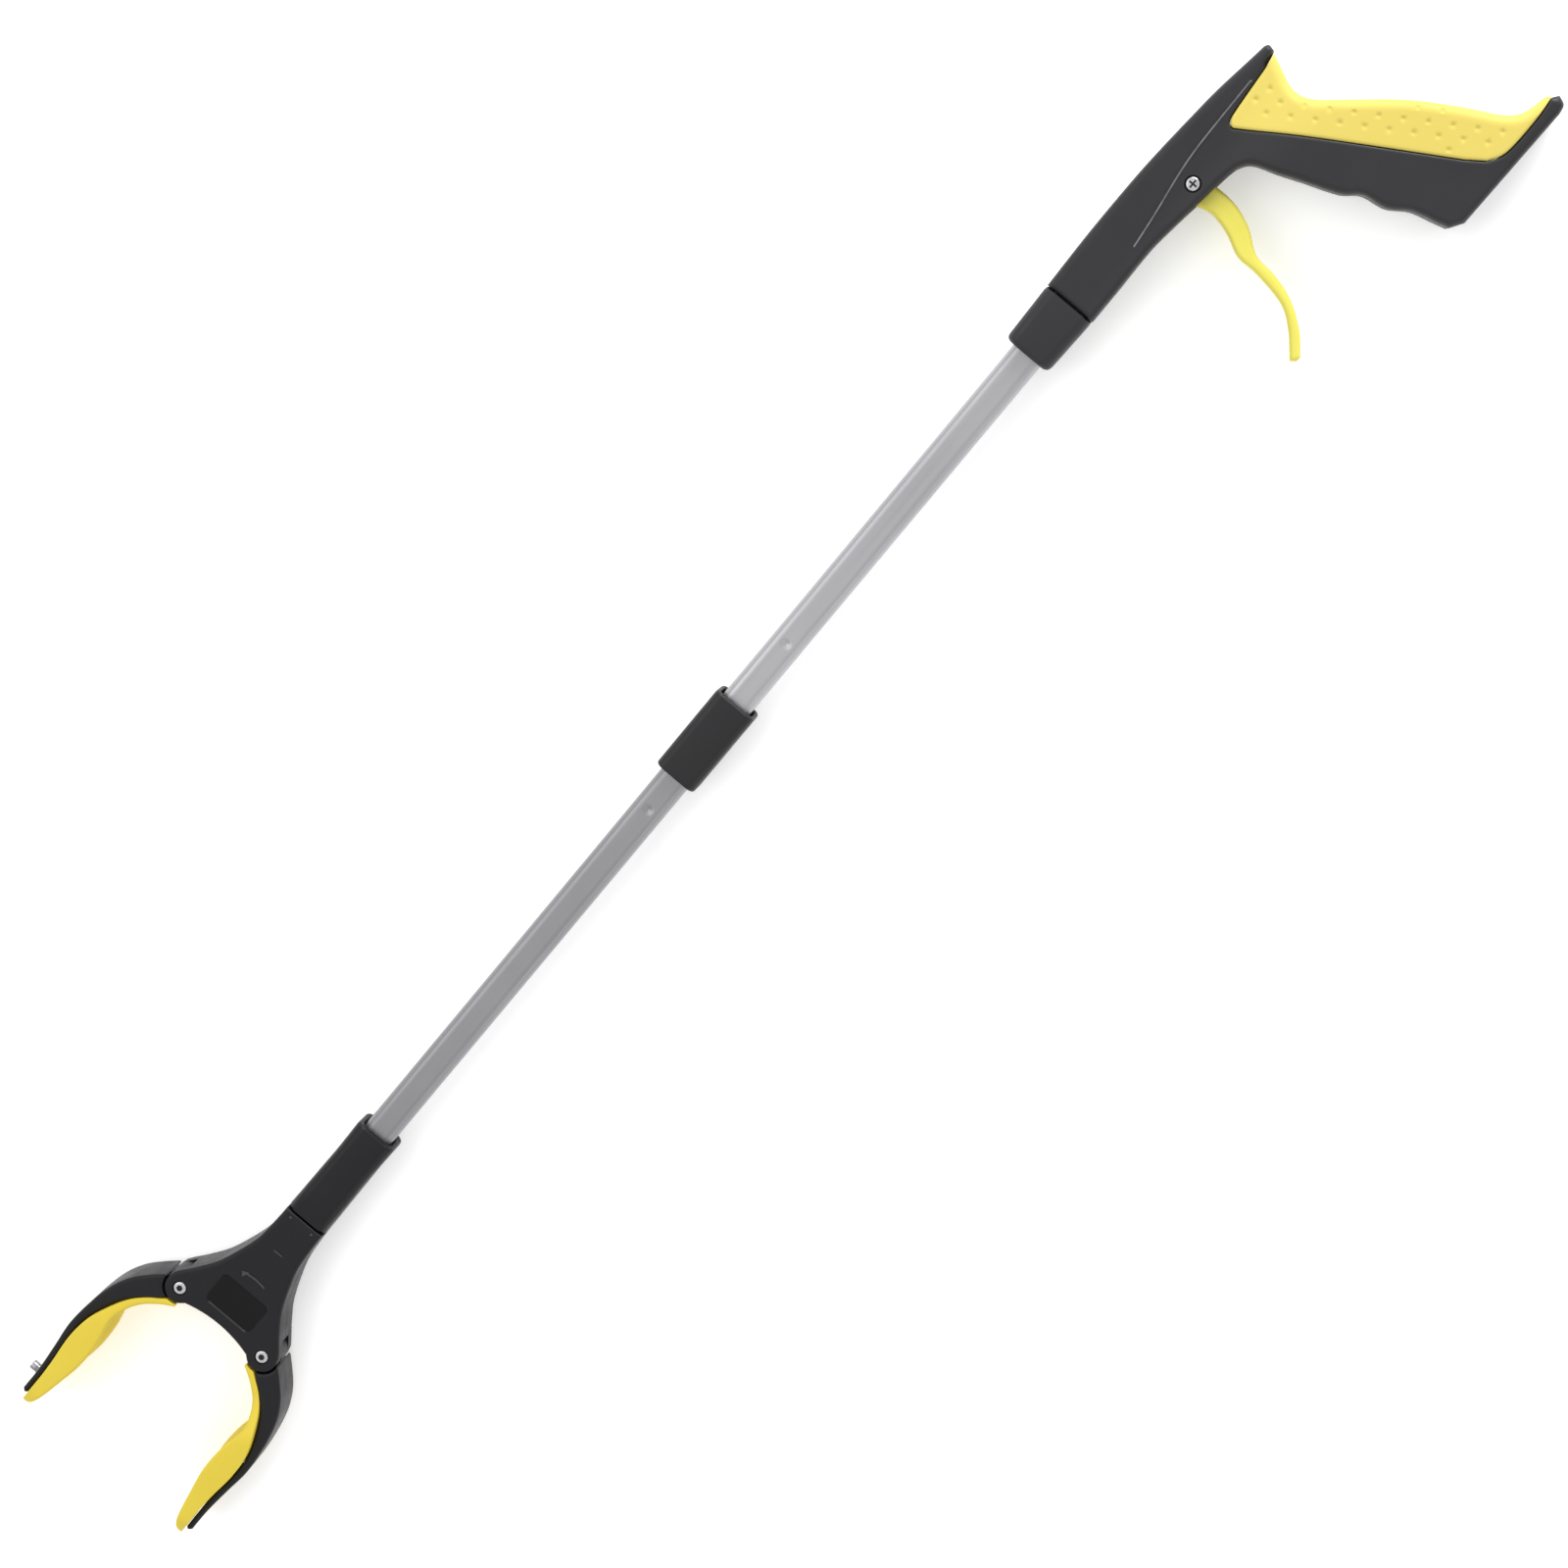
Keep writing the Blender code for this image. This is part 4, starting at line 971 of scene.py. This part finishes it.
BODY_EDGE = [(-266.3, 9.5), (-275, 9.8), (-285, 10.7), (-295, 13.6), (-305, 17.6), (-314, 23.4)]
BODY_EAR = [(-319, 27.2), (-321.4, 28.8)]
ARM_OUTER = [(-324.2, 30.6), (-329, 35.5), (-336, 41.3), (-345, 45.5), (-357, 48), (-370, 49.1)]
ARM_TIP = [(-382, 48), (-395, 47), (-407, 47), (-408.4, 45.6), (-407.5, 44.4)]
ARM_INNER = [(-396, 44.2), (-386, 44.6), (-374, 45.6), (-364, 44.9), (-355, 42), (-345, 37)]
ARM_ROOT = [(-338.5, 31.4), (-335, 27)]
PAD_EDGE = [(-400, 37.5), (-392, 36), (-380, 34), (-368, 34.2), (-356, 36.2), (-349, 34.6)]
PAD_ROOT = [(-343, 31), (-338.3, 26.2), (-335.2, 22), (-333.9, 20.2), (-333.4, 19.3)]
CLAW_EDGE = 1.3
MARK_HEIGHT = 0.28
PANEL_X, PANEL_HALF, PANEL_CORNER, PANEL_DEPTH = -313.7, (7.7, 12.3), 3.0, 0.5
SCREW_RECESS_R, SCREW_RECESS_DEPTH, JAW_SCREW_BORE_R = 3.1, 1.3, 1.85
KNUCKLE_ROOM_R = 9.3
CLAW_SCREW = (-291.0, 8.2)
CHAMBER = [(-307, 17.0), (-313, 21.4), (-317, 23.6), (-323, 25), (-331, 12), (-324.6, 12), (-324, 0)]
SPIGOT_BORES = ((-283.0, -260.0, 6.35), (-279.7, -275.7, 7.95))  # start, end and radius
CROSSHEAD_BORES = ((-303.0, -282.5, 5.05), (-312.5, -302.5, 2.95))
RIBS = ((-304, 9.5), (-309, 11.5), (-314, 13.5))


def body_outline():
    """The claw housing's outline, with a round ear for each jaw and a curved mouth between."""
    edge = flowing(BODY_EDGE) + BODY_EAR
    ear = arc(JAW_PIVOT, EAR_R, 68, 215, 26)
    top = ear[-1][1]
    shares = [k / 10 for k in range(9, 0, -1)]
    mouth = [(MOUTH_X - (top * s) ** 2 / (2 * MOUTH_R), top * s) for s in shares]
    half = edge + ear + mouth
    return half + [(MOUTH_X, 0.0)] + mirrored(half)


def raised_marks():
    """The claw's small moulded marks, as closed loops: a curved arrow, a short bar and two pips."""
    bow = arc((-322.0, 0.0), 22.5, -13, 13, 10)
    inner = arc((-322.0, 0.0), 21.8, 13, -13, 10)
    head = [(-302.6, 5.4), (-299.2, 3.9), (-300.6, 7.0)]
    tick = rectangle(-284.6, -2.2, -284.0, 2.2)
    pips = [circle((-268.4, way * 5.6), 0.55, 12) for way in (1, -1)]
    return [bow + inner, head, tick, *pips]


def on_painted_panel_shade(spot):
    """Whether a point of the claw lies on the sunken panel's floor, which is painted darker as shade."""
    across = abs(spot.x - PANEL_X) < PANEL_HALF[0] - 0.4 and abs(spot.y) < PANEL_HALF[1] - 0.4
    return across and CLAW_HALF_Z - PANEL_DEPTH - 0.05 < spot.z < CLAW_HALF_Z - 0.2


def both_sides_of(spot):
    """The spot on the upper side of the claw, and its twin on the lower side."""
    return (spot, (spot[0], -spot[1]))


def build_claw_shells():
    """The two halves of the claw housing: chamber, bores, screw recesses, marks and ribs."""
    outline = counter_clockwise(resampled(body_outline(), 0.8))
    (half_x, half_y), inset = PANEL_HALF, 0.5
    panel, panel_floor = (
        [(PANEL_X + x, y) for x, y in rounded_rectangle(half_x - by, half_y - by, PANEL_CORNER - by)]
        for by in (0, inset)
    )

    def height(points):
        return CLAW_HALF_Z - edge_round(distance_to(points, outline), CLAW_EDGE, CLAW_EDGE)

    def near_height(points):
        z = height(points)
        z[inside(points, panel_floor) | (distance_to(points, panel_floor) < 0.02)] -= PANEL_DEPTH
        return z

    chamber = CHAMBER + mirrored(CHAMBER[:-1])
    for side, name, node in ((1, "claw_half_near", "front"), (-1, "claw_half_far", "back")):
        near = side > 0
        surface, creases = (near_height, [panel, panel_floor]) if near else (height, [])
        bm = carved(outline, surface, rims=edge_steps(CLAW_EDGE, 4), creases=creases, spacing=1.4)
        if not near:
            flip(bm)
        obj = to_object(name, bm)
        deep = (-side * OVERLAP, side * (TONGUE_HALF_Z + 0.35))
        trimmed(obj, prism(chamber, *deep))
        rim = side * CLAW_HALF_Z
        for spot in both_sides_of(JAW_PIVOT):
            recess = (*spot, rim - side * SCREW_RECESS_DEPTH), (*spot, rim + side * 5)
            trimmed(
                obj,
                prism(circle(spot, KNUCKLE_ROOM_R, 64), *deep),
                bar((*spot, -12), (*spot, 12), JAW_SCREW_BORE_R),
                bar(*recess, SCREW_RECESS_R, 48),
            )
        if not near:
            trimmed(obj, *(bar((*p, -15), (*p, -8.4), 2.6, 40) for p in both_sides_of(CLAW_SCREW)))
        for start, end, radius in SPIGOT_BORES + CROSSHEAD_BORES:
            trimmed(obj, bar((start, 0, 0), (end, 0, 0), radius, 40))
        if near:
            raised = (CLAW_HALF_Z - 0.6, CLAW_HALF_Z + MARK_HEIGHT)
            joined(obj, *(prism(mark, *raised) for mark in raised_marks()))
        else:
            joined(obj, *(prism(rectangle(x - 0.6, -w, x + 0.6, w), -10.3, -9.4) for x, w in RIBS))
        add_piece(obj, "claw", "claw_black", f"claw_shell_{node}")
        if near:
            # the tops of the raised marks get a lighter grey: a painted highlight
            second_finish(obj, "mark_painted_highlight", lambda p: p.z > CLAW_HALF_Z + 0.05)
            # the sunken panel's floor gets a near-black: painted shade
            second_finish(obj, "panel_painted_shade", on_painted_panel_shade)


# ---- Jaws

TAIL_R, TAIL_START = 7.5, math.radians(-52.0)
JAW_SWING, STROKE = math.radians(27.0), 3.6  # of a jaw and of the crosshead, as in the record
FORK_HALF_Z = 1.8
TONGUE_R, TINE_R, PIVOT_R, TAIL_PIN_R = 5.0, 2.5, 1.75, 1.2
ARM_EDGE = 1.1
PAD_TIP = [(-410.0, 43.2), (-409.0, 40.8), (-405.5, 39.0)]


def band(line, radius, steps=8):
    """The outline at a constant distance round a straight line, with round ends."""
    (x0, y0), (x1, y1) = line
    turn = math.degrees(math.atan2(y1 - y0, x1 - x0))
    return arc((x1, y1), radius, turn - 90, turn + 90, steps) + arc(
        (x0, y0), radius, turn + 90, turn + 270, steps
    )


def round_pivot(radius, angle):
    """A point at an angle, in radians, round the upper jaw's pivot."""
    return (JAW_PIVOT[0] + radius * math.cos(angle), JAW_PIVOT[1] + radius * math.sin(angle))


def yoke_room(share):
    """Where the sliding yoke's end lies, seen from the jaw, part of the way to closed."""
    ends = [round_pivot(TAIL_R, TAIL_START + JAW_SWING * part) for part in (0.0, 1.0)]
    line = [ends[0], (ends[1][0] + STROKE, ends[1][1])]
    turn = -JAW_SWING * share
    cosine, sine = math.cos(turn), math.sin(turn)
    points = []
    for x, y in band(line, 3.1):
        x, y = x - STROKE * share - JAW_PIVOT[0], y - JAW_PIVOT[1]
        points.append((JAW_PIVOT[0] + x * cosine - y * sine, JAW_PIVOT[1] + x * sine + y * cosine))
    return points


def build_jaw_arm(way, name):
    """A black arm: its round knuckle, the forked tail inside the claw, and the room for the yoke."""
    outer = flowing(ARM_OUTER + ARM_TIP[:3]) + ARM_TIP[3:]
    inner = flowing(ARM_INNER + ARM_ROOT)
    shape = outer + inner + arc(JAW_PIVOT, EAR_R + 0.5, 163, 84, 20)

    def on_side(points):
        return counter_clockwise([(x, way * y) for x, y in points])

    outline = counter_clockwise(resampled(on_side(shape), 0.7))

    def height(points):
        z = ARM_HALF_Z - edge_round(distance_to(points, outline), ARM_EDGE, ARM_EDGE)
        return z - 1.2 * smooth_step((-380 - points[:, 0]) / 28)  # thinner towards the tip

    bm = carved(outline, height, rims=edge_steps(ARM_EDGE, 4), spacing=1.3, both_sides=True)
    obj = to_object(f"jaw_{name}_frame", bm)
    web = [(-328, 22.5), (-336, 30), (-331.5, 36.5), (-322.5, 27)]
    knuckle = [JAW_PIVOT] + arc(JAW_PIVOT, EAR_R + 0.2, 20, 82, 12)
    knuckle += arc(JAW_PIVOT, EAR_R + 0.9, 86, 160, 14)
    tail = round_pivot(TAIL_R, TAIL_START)
    tine = on_side(band([JAW_PIVOT, tail], TINE_R))
    solids = (circle(JAW_PIVOT, TONGUE_R), web, knuckle)
    joined(
        obj,
        *(prism(on_side(line), -TONGUE_HALF_Z, TONGUE_HALF_Z) for line in solids),
        prism(tine, FORK_HALF_Z + 0.2, TONGUE_HALF_Z),
        prism(tine, -TONGUE_HALF_Z, -FORK_HALF_Z - 0.2),
    )
    for room in (circle(tail, 6.6), yoke_room(0.5), yoke_room(1.0)):
        trimmed(obj, prism(on_side(room), -FORK_HALF_Z, FORK_HALF_Z))
    for (x, y), bore in ((JAW_PIVOT, PIVOT_R), (tail, TAIL_PIN_R)):
        trimmed(obj, bar((x, way * y, -9), (x, way * y, 9), bore))
    add_piece(obj, f"jaw_{name}", "claw_black", f"jaw_arm_{name}")


def along(line, count):
    """Evenly spaced points on a line."""
    line = np.array(line)
    step = np.concatenate([[0], np.cumsum(np.linalg.norm(np.diff(line, axis=0), axis=1))])
    at = np.linspace(0, step[-1], count)
    return np.stack([np.interp(at, step, line[:, k]) for k in (0, 1)], axis=1)


PAD_STATIONS = 64
PAD_FACE_STEPS = 24
PAD_RIM = 1.5
PAD_BACK_RIM = 0.3
ARM_GAP = 0.3


def pad_half_width(share):
    """The pad is broadest over its cup, blunt at the tip and narrow along the tail."""
    tip = PAD_HALF_Z - 0.12 - 3.2 * (1 - min(share / 0.10, 1.0)) ** 2
    tail = float(smooth_step((share - 0.60) / 0.25))
    return tip * (1 - tail) + (ARM_HALF_Z - 0.3) * tail


def build_jaw_pad(way, name):
    """A soft cup, lofted from the tip to the thin tail that runs round the jaw's ear."""
    ear_tail = arc(JAW_PIVOT, EAR_R + 0.7, 172, 202, 8)
    arm_side = [ARM_TIP[4]] + ARM_INNER + ARM_ROOT
    back = flowing([(-409.5, 44.25)] + [(x, y - ARM_GAP) for x, y in arm_side])
    back = along([p for p in back if p[0] < ear_tail[0][0] - 0.4] + ear_tail, PAD_STATIONS)
    front = along(flowing(PAD_TIP + PAD_EDGE + PAD_ROOT), PAD_STATIONS)
    rings = []
    for i, (b, f) in enumerate(zip(back, front)):
        share = i / (PAD_STATIONS - 1)
        b, f = Vector(b), Vector(f)
        depth = (f - b).length
        toward = (f - b).normalized()
        half = pad_half_width(share)
        rim = min(PAD_RIM, depth * 0.42)
        cup = 0.40 * depth * float(smooth_step((0.74 - share) / 0.2)) * min(1.0, share / 0.06)
        ring = []
        for k in range(PAD_FACE_STEPS + 1):
            across = -1 + 2 * k / PAD_FACE_STEPS
            z = across * (half - rim)
            dish = cup * (0.5 + 0.5 * math.cos(math.pi * min(1.0, abs(z) / (half - rim) * 1.04)))
            ring.append((f - toward * dish, z))
        for sine, cosine in quarter(6)[1:]:
            ring.append((f - toward * rim * (1 - cosine), half - rim + rim * sine))
        low_rim = min(PAD_BACK_RIM, depth * 0.3)
        for sine, cosine in quarter(4):
            ring.append((b + toward * low_rim * (1 - sine), half - low_rim * (1 - cosine)))
        ring += [(p, -z) for p, z in reversed(ring[PAD_FACE_STEPS + 1 :])]
        rings.append([(p.x, way * p.y, z) for p, z in ring])
    obj = to_object(f"jaw_{name}_cup", skinned(rings), 50)
    add_piece(obj, f"jaw_{name}", "pad_yellow", f"jaw_pad_{name}")


# ---- Fasteners and the tip magnet

NUT_R = 2.9


def hex_tool(spot, reach):
    """The outlines that cut a hexagon socket."""
    return [circle(spot, reach, 6)]


def cross_tool(spot, reach):
    """The outlines that cut a cross recess."""
    (x, y), half = spot, 0.36
    bars = ((reach, half), (half, reach))
    return [rectangle(x - wide, y - tall, x + wide, y + tall) for wide, tall in bars]


def screw_piece(name, node, body, spot, side, tall, shaft_r, head_r, tool=cross_tool):
    """A screw with its head on the side given: shaft, domed head and a driver recess."""
    low, high = measured(node)
    foot, face = (low.z, high.z) if side > 0 else (high.z, low.z)
    under = face - side * tall
    length, drop = abs(under - foot), tall * 0.55
    profile = [(0, -length), (shaft_r - 0.25, -length), (shaft_r, -length + 0.3), (shaft_r, 0)]
    profile += [(head_r - 0.12, 0), (head_r, 0.14), (head_r, tall * 0.45)]
    for sine, cosine in quarter(5)[1:]:
        profile.append((head_r - 0.62 * (1 - cosine), tall - drop + drop * sine * 0.86))
    profile += [(head_r * 0.5, tall - 0.02), (0, tall)]
    obj = to_object(name, turned((*spot, under), (0, 0, side), profile), 32)
    share, depth = (0.66, 0.75) if tool is cross_tool else (0.52, 0.8)
    reach = head_r * share
    trimmed(obj, *(prism(cut, face - side * depth, face + side) for cut in tool(spot, reach)))
    add_piece(obj, body, "screw_steel", node)

    def in_painted_recess_shade(p):
        away = math.hypot(p.x - spot[0], p.y - spot[1])
        return away < reach * 1.02 and 0.15 < side * (face - p.z) < depth + 0.1

    # the driver recess's faces get a dark grey: painted shade
    second_finish(obj, "recess_painted_shade", in_painted_recess_shade)


def nut_piece(name, node, body, spot, bore):
    """A hexagon nut with corners turned off, round a screw's end."""
    low, high = (corner.z for corner in measured(node))
    (x, y), edge = spot, 0.3
    rings = []
    for z, shrink in ((low, edge), (low + edge * 0.6, 0), (high - edge * 0.6, 0), (high, edge)):
        rings.append([(px, py, z) for px, py in circle(spot, NUT_R - shrink, 6)])
    obj = to_object(name, skinned(rings), 25)
    trimmed(obj, bar((x, y, low - 2), (x, y, high + 2), bore))
    add_piece(obj, body, "screw_steel", node)


def build_fasteners():
    """Every screw and nut, placed by its CAD node."""
    pivot = TRIGGER_PIVOT
    screw_piece("trigger_screw_skin", "trigger_pivot_screw", "handle", pivot, 1, 1.3, 1.5, 2.7)
    nut_piece("trigger_nut_skin", "trigger_pivot_nut", "handle", pivot, 1.55)
    for spot, name in zip(SHELL_SCREWS, ("nose", "grip", "butt")):
        node = f"shell_screw_{name}"
        screw_piece(f"shell_{name}_screw_skin", node, "handle", spot, -1, 1.1, 1.2, 2.35)
    spots = zip(("upper", "lower"), both_sides_of(JAW_PIVOT), both_sides_of(CLAW_SCREW))
    for name, jaw, shell in spots:
        node = f"jaw_pivot_screw_{name}"
        screw_piece(f"jaw_screw_{name}_skin", node, "claw", jaw, 1, 1.1, 1.6, 2.75, hex_tool)
        nut_piece(f"jaw_nut_{name}_skin", f"jaw_pivot_nut_{name}", "claw", jaw, 1.65)
        node = f"claw_shell_screw_{name}"
        screw_piece(f"claw_screw_{name}_skin", node, "claw", shell, -1, 1.0, 1.1, 2.2)


def build_magnet():
    """The small round magnet that stands on the upper jaw's tip."""
    low, high = measured("tip_magnet")
    r, tall = (high.x - low.x) / 2, high.y - low.y
    profile = [(0, 0), (r, 0), (r, 0.7), (r - 0.25, 0.8), (r - 0.25, 1.0), (r - 0.02, 1.15)]
    profile += [(r - 0.02, tall - 0.35), (r - 0.15, tall - 0.1), (r - 0.4, tall), (r * 0.55, tall)]
    profile += [(r * 0.5, tall - 0.12), (0, tall - 0.12)]
    base = ((low.x + high.x) / 2, low.y, 0.0)
    obj = to_object("magnet_button", turned(base, (0, 1, 0), profile), 32)
    add_piece(obj, "jaw_upper", "magnet_nickel", "tip_magnet")


# ---- Inner pieces that keep their CAD shapes

INNER_FINISH = {
    "inner_acetal": (
        "crosshead", "plunger_head", "rod_guide_lower", "rod_guide_middle", "rod_guide_rear",
        "upper_rod_foot",
    ),
    "inner_steel": (
        "claw_return_spring", "fold_hinge_pin", "lower_push_rod", "tail_pin_lower", "tail_pin_upper",
        "trigger_return_spring", "upper_push_rod", "socket_rivet",
    ),
    "claw_black": ("fold_hinge_block_lower", "fold_hinge_block_upper", "swivel_spigot"),
}


def finish_inner_pieces():
    """Gives the hidden pieces, which keep their CAD shapes, a finish of their own."""
    for material, nodes in INNER_FINISH.items():
        for node in nodes:
            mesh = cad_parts[node].data
            mesh.materials.clear()
            mesh.materials.append(MATERIALS[material])


def press_claw_spring():
    """Gives the claw's return spring a mesh of its own."""
    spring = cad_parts["claw_return_spring"]
    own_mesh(spring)


build_camera()
build_stage()
build_tubes()
build_lock_sleeve()
build_nose_collar()
build_neck_socket()
build_handle_shells()
build_grip_cover()
build_trigger()
build_claw_shells()
for way, side_name in ((1, "upper"), (-1, "lower")):
    build_jaw_arm(way, side_name)
    build_jaw_pad(way, side_name)
build_fasteners()
build_magnet()
finish_inner_pieces()
press_claw_spring()
bpy.context.scene.view_settings.view_transform = "Standard"
